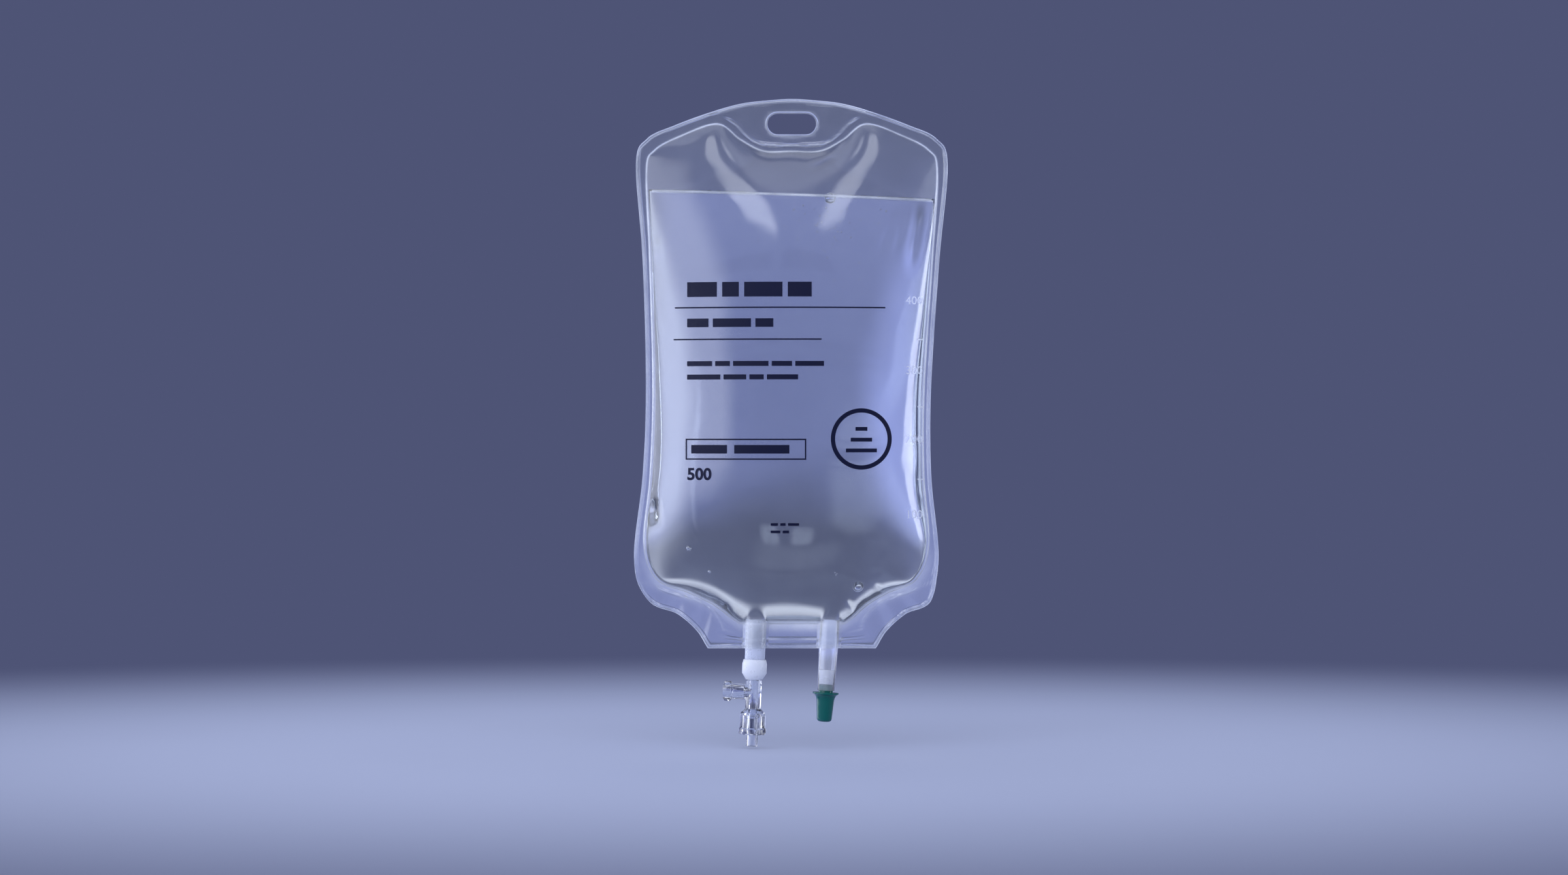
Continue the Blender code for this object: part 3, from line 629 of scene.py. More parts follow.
moulding_finish = clear_finish(
    "clear_moulding_finish", (0.94, 0.955, 1.0), 1.49, roughness=(0.01, 0.05), relief=(260, 0.00001)
)

# %% [markdown]
# Heat leaves soft film slightly white wherever the die pressed. The film's own finish reads how
# white each point is from an attribute, `weld`, which is written on the mesh once it is made. A
# white point scatters more, lets less through and is less smooth. The same whiteness paints a
# highlight too: a bright line on the film just above the liquid's level, in place of the lit meniscus.

# %% Finish of the film
FILL_DEPTH = 0.0355
FILL_TILT = math.radians(1.9)
# Painted highlight: place, width and reach of the bright line painted on the film just above the
# liquid's level.
HIGHLIGHT_LINE_RISE, HIGHLIGHT_LINE_WIDTH, HIGHLIGHT_LINE_END = 0.0009, 0.0007, 0.0588
FILM_CLEAR, FILM_WHITE = (0.895, 0.915, 0.945, 1.0), (0.90, 0.92, 0.98, 1.0)
FILM_IOR = 1.46
CLEAR_SHARE, WHITE_SHARE = 0.985, 0.60
CLEAR_ROUGHNESS, WHITE_ROUGHNESS = (0.04, 0.09), 0.18
WHITE_PATCHES = (60, 0.30, 1.0)
FILM_RELIEF = (45, 0.00004)


def level(x):
    """Height of the liquid's surface."""
    return -FILL_DEPTH - x * math.tan(FILL_TILT)


def painted_meniscus_highlight(tree):
    """1 on the painted highlight line just above the liquid's level, 0 away from it."""
    parts = place_parts(tree, "ShaderNodeTexCoord", "Object")
    straight = math_node(tree, "MULTIPLY_ADD", parts["X"], math.tan(FILL_TILT), parts["Z"])
    above = math_node(tree, "ADD", straight, FILL_DEPTH - HIGHLIGHT_LINE_RISE)
    off = math_node(tree, "DIVIDE", math_node(tree, "ABSOLUTE", above), HIGHLIGHT_LINE_WIDTH)
    line = math_node(tree, "MAXIMUM", math_node(tree, "SUBTRACT", 1.0, off), 0.0)
    inside = math_node(tree, "LESS_THAN", math_node(tree, "ABSOLUTE", parts["X"]), HIGHLIGHT_LINE_END)
    return math_node(tree, "MULTIPLY", line, inside)


def make_film_finish():
    """Clear film that turns white, rough and less clear where it was welded, and along a painted
    highlight line just above the liquid.
    """
    made, tree, shader = new_finish("clear_film_finish", FILM_CLEAR[:3], FILM_IOR, CLEAR_SHARE)
    weld = tree.nodes.new("ShaderNodeAttribute")
    weld.attribute_name = "weld"
    # Painted highlight: the weld's whiteness and the bright line above the liquid are joined into one
    # mask here.
    both = math_node(tree, "MAXIMUM", weld.outputs["Fac"], painted_meniscus_highlight(tree))
    weld_white_and_highlight = math_node(tree, "MULTIPLY", both, noise_between(tree, *WHITE_PATCHES))
    clear_rough = noise_between(tree, SKIN_SCALE, *CLEAR_ROUGHNESS)
    looks = {
        "Base Color": mix_node(tree, weld_white_and_highlight, FILM_CLEAR, FILM_WHITE),
        "Transmission Weight": range_node(tree, weld_white_and_highlight, (0, 1), CLEAR_SHARE, WHITE_SHARE, smooth=False),
        "Roughness": math_node(tree, "MULTIPLY_ADD", weld_white_and_highlight, WHITE_ROUGHNESS, clear_rough),
    }
    for name, look in looks.items():
        tree.links.new(look, shader.inputs[name])
    add_relief(tree, shader, *FILM_RELIEF)
    return made


film_finish = make_film_finish()

# %% [markdown]
# ## The two films
# Each film is the web lifted to its heights, thickened outwards by its 0.4 mm, with a raised rim
# round the hanger slot and the slot cut through. A sheet is rows of points with quads between
# them, and the cutter for the slot is a flat plate, extruded from the slot's outline.

# %% Sheets and plates
SAME_POINT, THIN_FACE = 1e-6, 1e-7


def fill_rows(bm, rows, closed=False):
    """Quads between rows of points that follow each other. Closed rows are loops."""
    for one, two in zip(rows, rows[1:]):
        for i in range(len(one) if closed else len(one) - 1):
            j = (i + 1) % len(one)
            bm.faces.new((one[i], one[j], two[j], two[i]))


def extrude(bm, faces):
    """Extrudes faces, and gives the points of the new end."""
    made = bmesh.ops.extrude_face_region(bm, geom=faces)
    return [part for part in made["geom"] if isinstance(part, bmesh.types.BMVert)]


def slab(outline, low_y, high_y):
    """A flat plate from an outline in XZ, between two values of y."""
    bm = bmesh.new()
    face = bm.faces.new([bm.verts.new((x, low_y, z)) for x, z in outline])
    bmesh.ops.translate(bm, verts=extrude(bm, [face]), vec=(0, high_y - low_y, 0))
    return bm


def sheet(heights, side, offset, first_ring=0, pinned=False):
    """The web from first_ring inwards, on the front (-1) or the back (1), its rim pinned flat or not."""
    bm = bmesh.new()
    rows = []
    for number in range(first_ring, len(rings)):
        flat = pinned and number == first_ring
        y = wave[number] if flat else side * (heights[number] + offset) + wave[number]
        rows.append([bm.verts.new(point) for point in zip(web_x[number], y, web_z[number])])
    fill_rows(bm, rows, closed=True)
    bmesh.ops.remove_doubles(bm, verts=bm.verts, dist=SAME_POINT)
    bmesh.ops.dissolve_degenerate(bm, edges=bm.edges, dist=THIN_FACE)
    return bm

# %% The hanger slot and its rim
FILM_THICKNESS = 0.0004
SEAM_GAP = 0.0003
SLOT_WIDTH = 0.0205
SLOT_HEIGHT = 0.0088
SLOT_RIM_WIDTH = 0.0010
SLOT_RIM_RISE = 0.00035
SLOT_STEPS = 24
RIM_STEPS = 8
RIM_FULLNESS = 0.7
RIM_OVERLAP = 0.0001


def slot_outline(grow):
    """The slot's outline, grown outwards: two straight runs and two half-round ends."""
    radius, reach = SLOT_HEIGHT / 2 + grow, (SLOT_WIDTH - SLOT_HEIGHT) / 2
    outline = []
    for side, start in ((1, -math.pi / 2), (-1, math.pi / 2)):
        for i in range(SLOT_STEPS + 1):
            angle = start + math.pi * i / SLOT_STEPS
            x, z = side * reach + radius * math.cos(angle), radius * math.sin(angle)
            outline.append((x, z - SLOT_HEIGHT / 2))
    return outline


def rim_bead(side):
    """A half-round bead that runs round the slot on one face of the film."""
    near = SEAM_GAP / 2 + FILM_THICKNESS / 2
    rise = FILM_THICKNESS / 2 + SLOT_RIM_RISE
    bm = bmesh.new()
    loops = []
    for step in range(RIM_STEPS + 1):
        turn = math.pi * step / RIM_STEPS
        grow = SLOT_RIM_WIDTH / 2 * (1 - math.cos(turn))
        y = side * (near + rise * math.sin(turn) ** RIM_FULLNESS)
        outline = np.array(slot_outline(grow - RIM_OVERLAP))
        bowed = y + header_wave(outline[:, 0], outline[:, 1])
        loops.append([bm.verts.new((x, place, z)) for (x, z), place in zip(outline, bowed)])
    fill_rows(bm, loops + loops[:1], closed=True)
    return bm

# %% Make the films
SLOT_CUT_DEPTH = 0.004
SLOT_WHITE = 0.15
RIM_WHITE_FADE = 0.0004


def whiten(made):
    """Writes the attribute that the film's finish reads."""
    places = np.empty(3 * len(made.data.vertices))
    made.data.vertices.foreach_get("co", places)
    x, _, z = places.reshape(-1, 3).T
    reach = (SLOT_WIDTH - SLOT_HEIGHT) / 2
    slot = np.hypot(np.maximum(np.abs(x) - reach, 0), z + SLOT_HEIGHT / 2) - SLOT_HEIGHT / 2
    rim = SLOT_WHITE * (1 - smoothstep(slot, SLOT_RIM_WIDTH, SLOT_RIM_WIDTH + RIM_WHITE_FADE))
    weld = made.data.attributes.new("weld", "FLOAT", "POINT")
    weld.data.foreach_set("value", np.maximum(whiteness(x + sway(z), z), rim))


def make_film(name, side):
    """One sheet of the bag, on the front (-1) or the back (1)."""
    made = add_object(name, sheet(standing + beads, side, SEAM_GAP / 2))
    if made.data.polygons[0].normal.y * side < 0:
        made.data.flip_normals()
    thick = made.modifiers.new("thickness", "SOLIDIFY")
    thick.thickness = FILM_THICKNESS
    thick.offset = 1
    thick.use_even_offset = True
    settle(made)
    cut_or_join(made, "UNION", add_object("rim", rim_bead(side)))
    cut = slab(slot_outline(0.0), -SLOT_CUT_DEPTH, SLOT_CUT_DEPTH)
    cut_or_join(made, "DIFFERENCE", add_object("cut", cut))
    give_finish(made, film_finish)
    whiten(made)
    made.visible_shadow = False
    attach(made, "bag")
    print(name, len(made.data.polygons), "faces")
    return made


front = make_film("front_film_sheet", -1)
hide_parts("front_film")
back = make_film("back_film_sheet", 1)
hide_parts("back_film")

# %% [markdown]
# ## The solution
# The liquid fills the pouch up to a level line that tilts by two degrees, because the bag hangs
# slightly off plumb. Where the level meets the film, water climbs the plastic in a small curl. The
# bright line across the bag just above it is a painted highlight in the film's finish. A flat cut
# would leave a knife edge, so the cutter's underside carries the curl.

# %% Finish of the liquid
WATER_IOR = 1.333


def water_finish(name, relief):
    """Clear as water, with only relief in its skin."""
    made, tree, shader = new_finish(name, (1.0, 1.0, 1.0), WATER_IOR, 1.0)
    shader.inputs["Roughness"].default_value = 0.0
    add_relief(tree, shader, *relief)
    return made, tree


solution_finish, solution_tree = water_finish("solution_finish", (30, 0.00002))
# Painted shade: the solution is clear, and this absorption darkens the liquid as a darker room seen
# through it would.
painted_shade_absorption = add_node(solution_tree, "ShaderNodeVolumeAbsorption", Color=(0.60, 0.64, 0.70, 1.0), Density=17.0)
solution_tree.links.new(painted_shade_absorption.outputs["Volume"], solution_tree.nodes["Material Output"].inputs["Volume"])

# %% The air above the liquid
CURL_HEIGHT = 0.0020
CURL_REACH = 0.0016
CUT_STEPS_X, CUT_STEPS_Y = 240, 72
CUT_HALF_WIDTH, CUT_HALF_DEPTH = 0.068, 0.026
CUT_TOP = 0.02
LEVEL_REACH = 0.0012


def wall_at_level():
    """x places from left to right and the film's standing height there, at the liquid's level."""
    found = {}
    for number in range(POUCH_RING, len(rings)):
        close = np.abs(web_z[number] - level(web_x[number])) < LEVEL_REACH
        for x, height in zip(web_x[number][close], standing[number][close]):
            found[round(x, 4)] = height
    places = np.array(sorted(found))
    return places, np.array([found[x] for x in places])


def air_cutter():
    """Everything above the liquid, with the curl in its underside."""
    places, heights = wall_at_level()
    xs = np.linspace(-CUT_HALF_WIDTH, CUT_HALF_WIDTH, CUT_STEPS_X + 1)
    ys = np.linspace(-CUT_HALF_DEPTH, CUT_HALF_DEPTH, CUT_STEPS_Y + 1)
    wall = np.interp(xs, places, heights)
    bm = bmesh.new()
    rows = []
    for x, half in zip(xs, wall):
        from_end = np.clip(min(x - places[0], places[-1] - x), 0, 1)
        dry = np.minimum(np.maximum(half - np.abs(ys), 0), from_end)
        curl = CURL_HEIGHT * np.exp(-dry / CURL_REACH)
        rows.append([bm.verts.new((x, y, level(x) + rise)) for y, rise in zip(ys, curl)])
    fill_rows(bm, rows)
    for vert in extrude(bm, bm.faces[:]):
        vert.co.z = CUT_TOP
    return bm

# %% Columns of liquid in the port tubes
COLUMN_TOP = 0.018
# Radius of each port's column, and how far it runs below the film's foot.
COLUMNS = ((0.0029, 0.0085), (0.0030, 0.0090))


def turned(profile, steps=64):
    """A body turned round Z from (radius, z) points, which end on the axis."""
    bm = bmesh.new()
    rings = []
    for radius, z in profile:
        if radius == 0:
            rings.append([bm.verts.new((0, 0, z))] * steps)
            continue
        turns = [2 * math.pi * i / steps for i in range(steps)]
        rings.append([bm.verts.new((radius * math.cos(a), radius * math.sin(a), z)) for a in turns])
    for ring, follower in zip(rings, rings[1:]):
        for i in range(steps):
            j = (i + 1) % steps
            bm.faces.new(list(dict.fromkeys([ring[i], ring[j], follower[j], follower[i]])))
    return bm


def column(port, radius, foot):
    """The liquid inside a port tube, on its leaning axis."""
    profile = [(0, COLUMN_TOP), (radius, COLUMN_TOP), (radius, -foot), (0, -foot)]
    made = add_object("column", turned(profile))
    made.matrix_world = Matrix.Translation((port[0], 0, -FOOT_DEPTH)) @ Matrix.Rotation(port[1], 4, "Y")
    return made

# %% Make the liquid
FLUID_GAP = 0.0003
FLUID_RING = POUCH_RING + 3


def make_solution():
    """Two sheets inside the films, closed at their rims, less the air, plus the columns."""
    liquid = standing - SEAM_GAP / 2 - FLUID_GAP / 2
    bm = sheet(liquid, -1, 0, FLUID_RING, pinned=True)
    other = sheet(liquid, 1, 0, FLUID_RING, pinned=True)
    spare = bpy.data.meshes.new("spare")
    other.to_mesh(spare)
    other.free()
    bm.from_mesh(spare)
    bpy.data.meshes.remove(spare)
    bmesh.ops.remove_doubles(bm, verts=bm.verts, dist=SAME_POINT)
    made = add_object("solution", bm)
    cut_or_join(made, "DIFFERENCE", add_object("air", air_cutter()))
    for port, (radius, foot) in zip(PORTS, COLUMNS):
        cut_or_join(made, "UNION", column(port, radius, foot))
    give_finish(made, solution_finish)
    made.visible_shadow = False
    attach(made, "bag")
    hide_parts("fluid")
    print("solution", len(made.data.polygons), "faces")
    return made


solution = make_solution()

# %% [markdown]
# ## The hard mouldings and the port tubes
# These keep their solids. A narrow bevel rounds every edge as a mould does, and the finish does
# the rest: a milky outlet tube, a clearer spike tube, a glass-clear tee and collar, a green stopper.
# Clear parts cast no shadow, so that light reaches what is inside them.

# %% Finishes of the ports
SCATTER_COLOR, SCATTER_DEPTH = (0.8, 0.9, 1.0), 0.003
MILKY_SCALE = 300
MILKY_RELIEF = (700, 0.000004)


def milky_finish(name, color, roughness, transmission, scatter):
    """Soft plastic, from clear to milky, that scatters light under its skin."""
    made, tree, shader = new_finish(name, color, FILM_IOR, transmission)
    shader.inputs["Subsurface Weight"].default_value = scatter
    shader.inputs["Subsurface Radius"].default_value = SCATTER_COLOR
    shader.inputs["Subsurface Scale"].default_value = SCATTER_DEPTH
    tree.links.new(noise_between(tree, MILKY_SCALE, *roughness), shader.inputs["Roughness"])
    add_relief(tree, shader, *MILKY_RELIEF)
    return made


outlet_finish = milky_finish("outlet_tube_finish", (0.74, 0.78, 0.92), (0.24, 0.34), 0.30, 0.12)
spike_finish = milky_finish("spike_tube_finish", (0.90, 0.92, 0.99), (0.06, 0.12), 0.90, 0.0)
bush_finish = milky_finish("milky_moulding_finish", (0.77, 0.79, 0.85), (0.25, 0.38), 0.10, 0.12)
green_finish = milky_finish("green_moulding_finish", (0.005, 0.095, 0.080), (0.12, 0.20), 0.0, 0.05)

# %% Dress the solids
NODE_FINISHES = {
    "outlet_tube": outlet_finish,
    "outlet_membrane": bush_finish,
    "outlet_collar": bush_finish,
    "tee_connector": moulding_finish,
    "lock_collar": moulding_finish,
    "spike_tube": spike_finish,
    "spike_bush": bush_finish,
    "stopper": green_finish,
}
SEE_THROUGH = ("tee_connector", "lock_collar", "spike_tube")
MOULD_RADIUS = 0.00012


def dress(node, finish):
    """Gives a solid of the frame its finish and rounded edges."""
    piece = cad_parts[node]
    give_finish(piece, finish)
    weld = piece.modifiers.new("weld", "WELD")
    weld.merge_threshold = SAME_POINT
    bevel = piece.modifiers.new("mould_radius", "BEVEL")
    bevel.width = MOULD_RADIUS
    bevel.segments = 2
    bevel.limit_method = "ANGLE"
    bevel.angle_limit = SHARP_ANGLE
    bevel.harden_normals = True
    piece.data.shade_smooth()
    return piece


for node, finish in NODE_FINISHES.items():
    dress(node, finish).visible_shadow = node not in SEE_THROUGH
print("dressed", len(NODE_FINISHES), "solids")

# %% [markdown]
# ## Print on the front film
# Screen ink lies on the film and bends with it. Each mark is drawn flat as a patch of small quads,
# then every point is carried straight back until it meets the film. The marks are plain ones: bars
# where a label has lines of words, a framed field, a quantity and a level sign.

# %% Finishes of the ink
def print_finish(name, color, transmission, specular, roughness, relief):
    """Ink. roughness is the scale and range of its noise, and relief a scale and a height."""
    made, tree, shader = new_finish(name, color, transmission=transmission)
    shader.inputs["Specular IOR Level"].default_value = specular
    tree.links.new(noise_between(tree, *roughness), shader.inputs["Roughness"])
    add_relief(tree, shader, *relief)
    return made


ink_finish = print_finish(
    "ink_finish", (0.004, 0.006, 0.030), 0.0, 0.25, (900, 0.35, 0.55), (2500, 0.000004)
)
scale_finish = print_finish(
    "scale_finish", (0.88, 0.90, 0.98), 0.5, 0.5, (700, 0.35, 0.6), (1800, 0.000006)
)

# %% Marks
PATCH_STEP = 0.0012
DIGIT_SHARE = 0.70


def patch(bm, left, right, low, high):
    """A rectangle of small quads, flat in XZ."""
    across = max(1, math.ceil((right - left) / PATCH_STEP))
    up = max(1, math.ceil((high - low) / PATCH_STEP))
    rows = []
    for j in range(up + 1):
        z = low + (high - low) * j / up
        xs = [left + (right - left) * i / across for i in range(across + 1)]
        rows.append([bm.verts.new((x, 0, z)) for x in xs])
    fill_rows(bm, rows)


def bars(bm, left, low, height, widths, gap):
    """A row of bars that starts at left."""
    for width in widths:
        patch(bm, left, left + width, low, low + height)
        left += width + gap


def frame_mark(bm, left, right, low, high, stroke):
    """The outline of a rectangle, as four patches."""
    patch(bm, left, right, high - stroke, high)
    patch(bm, left, right, low, low + stroke)
    patch(bm, left, left + stroke, low + stroke, high - stroke)
    patch(bm, right - stroke, right, low + stroke, high - stroke)


def ring_mark(bm, x, z, radius, stroke, steps=72):
    """A ring round (x, z)."""
    loops = []
    for r in (radius - stroke, radius - stroke / 2, radius):
        turns = [2 * math.pi * i / steps for i in range(steps)]
        loops.append([bm.verts.new((x + r * math.cos(a), 0, z + r * math.sin(a))) for a in turns])
    fill_rows(bm, loops, closed=True)


def number_mark(bm, text, x, z, height, align="LEFT", weight=0.0):
    """A plain number from the built-in font, its foot at z, its strokes made wider by weight."""
    curve = bpy.data.curves.new("number", "FONT")
    curve.body = text
    curve.size = height / DIGIT_SHARE
    curve.align_x = align
    curve.offset = weight
    curve.resolution_u = 4
    made = bpy.data.objects.new("number", curve)
    scene.collection.objects.link(made)
    bpy.context.view_layer.update()
    graph = bpy.context.evaluated_depsgraph_get()
    mesh = bpy.data.meshes.new_from_object(made.evaluated_get(graph))
    mesh.transform(Matrix.Translation((x, 0, z)) @ Matrix.Rotation(math.pi / 2, 4, "X"))
    bm.from_mesh(mesh)
    bpy.data.objects.remove(made, do_unlink=True)
    bpy.data.meshes.remove(mesh)

# %% Lay marks on the film
INK_LIFT = 0.00006
FILM_FRONT_Y = -0.05


def lay_on_film(name, bm, finish):
    """Carries the marks straight back onto the front film and makes them a piece."""
    graph = bpy.context.evaluated_depsgraph_get()
    tree = BVHTree.FromObject(front, graph)
    for vert in bm.verts:
        hit = tree.ray_cast(Vector((vert.co.x, FILM_FRONT_Y, vert.co.z)), Vector((0, 1, 0)))
        vert.co.y = hit[0].y - INK_LIFT
    made = add_object(name, bm, finish)
    made.data.shade_smooth()
    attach(made, "bag")
    print(name, len(made.data.polygons), "faces")
    return made

# %% The label
LEFT_MARGIN, FIELD_MARGIN, SMALL_MARGIN = -0.0438, -0.0420, -0.0088
# Each row of bars: its left end, its foot, its height, the width of each bar, and the gap.
BAR_ROWS = (
    (LEFT_MARGIN, -0.0776, 0.0062, (0.0125, 0.0070, 0.0160, 0.0100), 0.0022),
    (LEFT_MARGIN, -0.0903, 0.0036, (0.0090, 0.0160, 0.0075), 0.0018),
    (LEFT_MARGIN, -0.1066, 0.0021, (0.0105, 0.0062, 0.0148, 0.0085, 0.0120), 0.0013),
    (LEFT_MARGIN, -0.1122, 0.0021, (0.0140, 0.0095, 0.0060, 0.0130), 0.0013),
    (FIELD_MARGIN, -0.1431, 0.0036, (0.0150, 0.0230), 0.0030),
    (SMALL_MARGIN, -0.1732, 0.0011, (0.0030, 0.0022, 0.0046), 0.0010),
    (SMALL_MARGIN, -0.1763, 0.0011, (0.0040, 0.0026), 0.0010),
)
# Each ruled line and the field: left, right, foot and top.
LINES = ((-0.0490, 0.0391, -0.0824, -0.0818), (-0.0495, 0.0124, -0.0957, -0.0951))
FIELD, FIELD_STROKE = (-0.0444, 0.0060, -0.1457, -0.1369), 0.0006
QUANTITY, QUANTITY_Z, QUANTITY_HEIGHT, QUANTITY_WEIGHT = "500", -0.1540, 0.0048, 0.00022
SIGN_X, SIGN_Z, SIGN_RADIUS, SIGN_STROKE = 0.0290, -0.1370, 0.0128, 0.0018
SIGN_WIDTHS, SIGN_TOP, SIGN_PITCH, SIGN_BAR = (0.0050, 0.0090, 0.0130), -0.1320, 0.0045, 0.0016

label = bmesh.new()
for row in BAR_ROWS:
    bars(label, *row)
for line in LINES:
    patch(label, *line)
frame_mark(label, *FIELD, FIELD_STROKE)
number_mark(label, QUANTITY, LEFT_MARGIN, QUANTITY_Z, QUANTITY_HEIGHT, weight=QUANTITY_WEIGHT)
ring_mark(label, SIGN_X, SIGN_Z, SIGN_RADIUS, SIGN_STROKE)
for number, width in enumerate(SIGN_WIDTHS):
    top = SIGN_TOP - SIGN_PITCH * number
    patch(label, SIGN_X - width / 2, SIGN_X + width / 2, top - SIGN_BAR, top)
lay_on_film("label_print", label, ink_finish)

# %% The scale on the right
SCALE_RIGHT = 0.0550
READINGS = (("400", -0.0788), ("300", -0.1081), ("200", -0.1370), ("100", -0.1686))
DIGIT_HEIGHT = 0.0034
TICKS, TICK_WIDTH, TICK_HEIGHT = (-0.0952, -0.1235, -0.1540), 0.0022, 0.0006

scale = bmesh.new()
for reading, z in READINGS:
    number_mark(scale, reading, SCALE_RIGHT, z - DIGIT_HEIGHT / 2, DIGIT_HEIGHT, "RIGHT")
for z in TICKS:
    patch(scale, SCALE_RIGHT - TICK_WIDTH, SCALE_RIGHT, z - TICK_HEIGHT / 2, z + TICK_HEIGHT / 2)
lay_on_film("scale_print", scale, scale_finish)

# %% [markdown]
# ## Bubbles
# A bubble is the one thing here that is less dense than what surrounds it, so light turns away
# from its middle and its rim shines. The same glass shader does it when the faces of the sphere
# look inwards: light then leaves water on its way in, and enters water on its way out.

# %% Bubbles in the liquid
# Each bubble: x, z, radius, and how far its middle lies behind the film.
BUBBLES = (
    (0.0161, -0.0362, 0.0024, 0.0032),
    (0.0275, -0.1985, 0.0023, 0.0034),
    (-0.0429, -0.1826, 0.0011, 0.0020),
    (-0.0342, -0.1922, 0.0008, 0.0018),
    (0.0180, -0.1927, 0.00035, 0.0010),
    (0.0189, -0.1932, 0.00030, 0.0010),
    (0.0184, -0.1937, 0.00035, 0.0010),
    (0.0395, -0.0415, 0.00045, 0.0012),
    (0.0372, -0.0408, 0.00035, 0.0012),
)
SPECK_COUNT = 60
SPECK_X, SPECK_TOP, SPECK_FALL = (0.0140, 0.0090), -0.0380, 0.0130
SPECK_RADII, SPECK_DEPTHS = (0.00016, 0.00040), (0.0006, 0.0015)

bubble_finish, _ = water_finish("bubble_finish", (900, 0.000002))


def film_y(tree, x, z):
    """y of the liquid's front skin at (x, z)."""
    return tree.ray_cast(Vector((x, FILM_FRONT_Y, z)), Vector((0, 1, 0)))[0].y


def make_bubbles():
    """The bubbles one by one, and a scatter of specks under the level, all as one piece."""
    tree = BVHTree.FromObject(solution, bpy.context.evaluated_depsgraph_get())
    bm = bmesh.new()
    for x, z, radius, behind in BUBBLES:
        place = Matrix.Translation((x, film_y(tree, x, z - radius) + behind, z))
        bmesh.ops.create_uvsphere(bm, u_segments=32, v_segments=20, radius=radius, matrix=place)
    for _ in range(SPECK_COUNT):
        x = dice.gauss(*SPECK_X)
        z = SPECK_TOP - abs(dice.gauss(0, SPECK_FALL))
        radius = dice.uniform(*SPECK_RADII)
        behind = dice.uniform(*SPECK_DEPTHS)
        place = Matrix.Translation((x, film_y(tree, x, z) + behind, z))
        bmesh.ops.create_icosphere(bm, subdivisions=2, radius=radius, matrix=place)
    made = add_object("bubbles", bm, bubble_finish)
    made.data.flip_normals()
    made.data.shade_smooth()
    made.visible_shadow = False
    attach(made, "bag")
    print("bubbles:", len(BUBBLES), "and", SPECK_COUNT, "specks")


make_bubbles()

# %% [markdown]
# ## The stage
# Clear things need something to bend. The wall is a calm mid-tone blue, because a clear bag is lost
# in front of a pale one. The floor is pale and matt, and fades into the wall's colour far away.

# %% The floor
WALL_COLOR = (0.118, 0.136, 0.275, 1.0)
FLOOR_COLOR = (0.45, 0.485, 0.63)
FLOOR_NOISE = (9, 0.58, 0.64)
FLOOR_GAP = 0.0012
FLOOR_RADIUS, FLOOR_SEGMENTS = 0.85, 96
FLOOR_SPECULAR = 0.10
FLOOR_FADE = (0.18, 0.80)
CAMERA_LEVEL = 0.65


def make_floor():
    """A round floor just under the lowest tip, hidden from reflections."""
    bm = bmesh.new()
    bmesh.ops.create_circle(bm, cap_ends=True, segments=FLOOR_SEGMENTS, radius=FLOOR_RADIUS)
    made = add_object("floor", bm)
    made.location.z = cad_low.z - FLOOR_GAP
    finish, tree, shader = new_finish("floor_finish", FLOOR_COLOR)
    shader.inputs["Specular IOR Level"].default_value = FLOOR_SPECULAR
    tree.links.new(noise_between(tree, *FLOOR_NOISE), shader.inputs["Roughness"])
    reach = tree.nodes.new("ShaderNodeVectorMath")
    reach.operation = "LENGTH"
    tree.links.new(tree.nodes.new("ShaderNodeTexCoord").outputs["Object"], reach.inputs[0])
    fade = range_node(tree, reach.outputs["Value"], FLOOR_FADE, 0.0, 1.0)
    far = add_node(tree, "ShaderNodeEmission", Color=WALL_COLOR, Strength=CAMERA_LEVEL)
    mix = add_node(tree, "ShaderNodeMixShader", Fac=fade)
    tree.links.new(shader.outputs["BSDF"], mix.inputs[1])
    tree.links.new(far.outputs["Emission"], mix.inputs[2])
    tree.links.new(mix.outputs["Shader"], tree.nodes["Material Output"].inputs["Surface"])
    made.data.materials.append(finish)
    made.visible_glossy = False


make_floor()
print("floor at, mm:", round(1000 * (cad_low.z - FLOOR_GAP), 1))

# %% [markdown]
# The room is a world whose level depends on the direction and on who is looking. The camera sees
# one even level. Film and liquid see the same blue, lighter low down and to the left, because the
# bag needs something uneven to bend, and darker in front, so that reflections stay faint. Matt
# surfaces get a greyer light, with more of it from the front and from below.

# %% The room
# A direction's X, Y or Z is its share along that axis, so each span below is a pair of such shares.
LIGHT_COLOR = (0.17, 0.19, 0.26, 1.0)
SEEN_LEVEL, LIGHT_LEVEL = 0.52, 1.6
SIDE_SPAN, SIDE_LEVEL = (0.25, 0.80), 0.90
LOW_SPAN, LOW_LEVEL = (0.10, -0.02), 3.7
LEFT_SPAN, LEFT_LEVEL = (-0.15, -0.33), 1.9
FRONT_SPAN, FRONT_SHADE, FRONT_LIGHT = (-0.15, -0.75), 0.60, 2.6


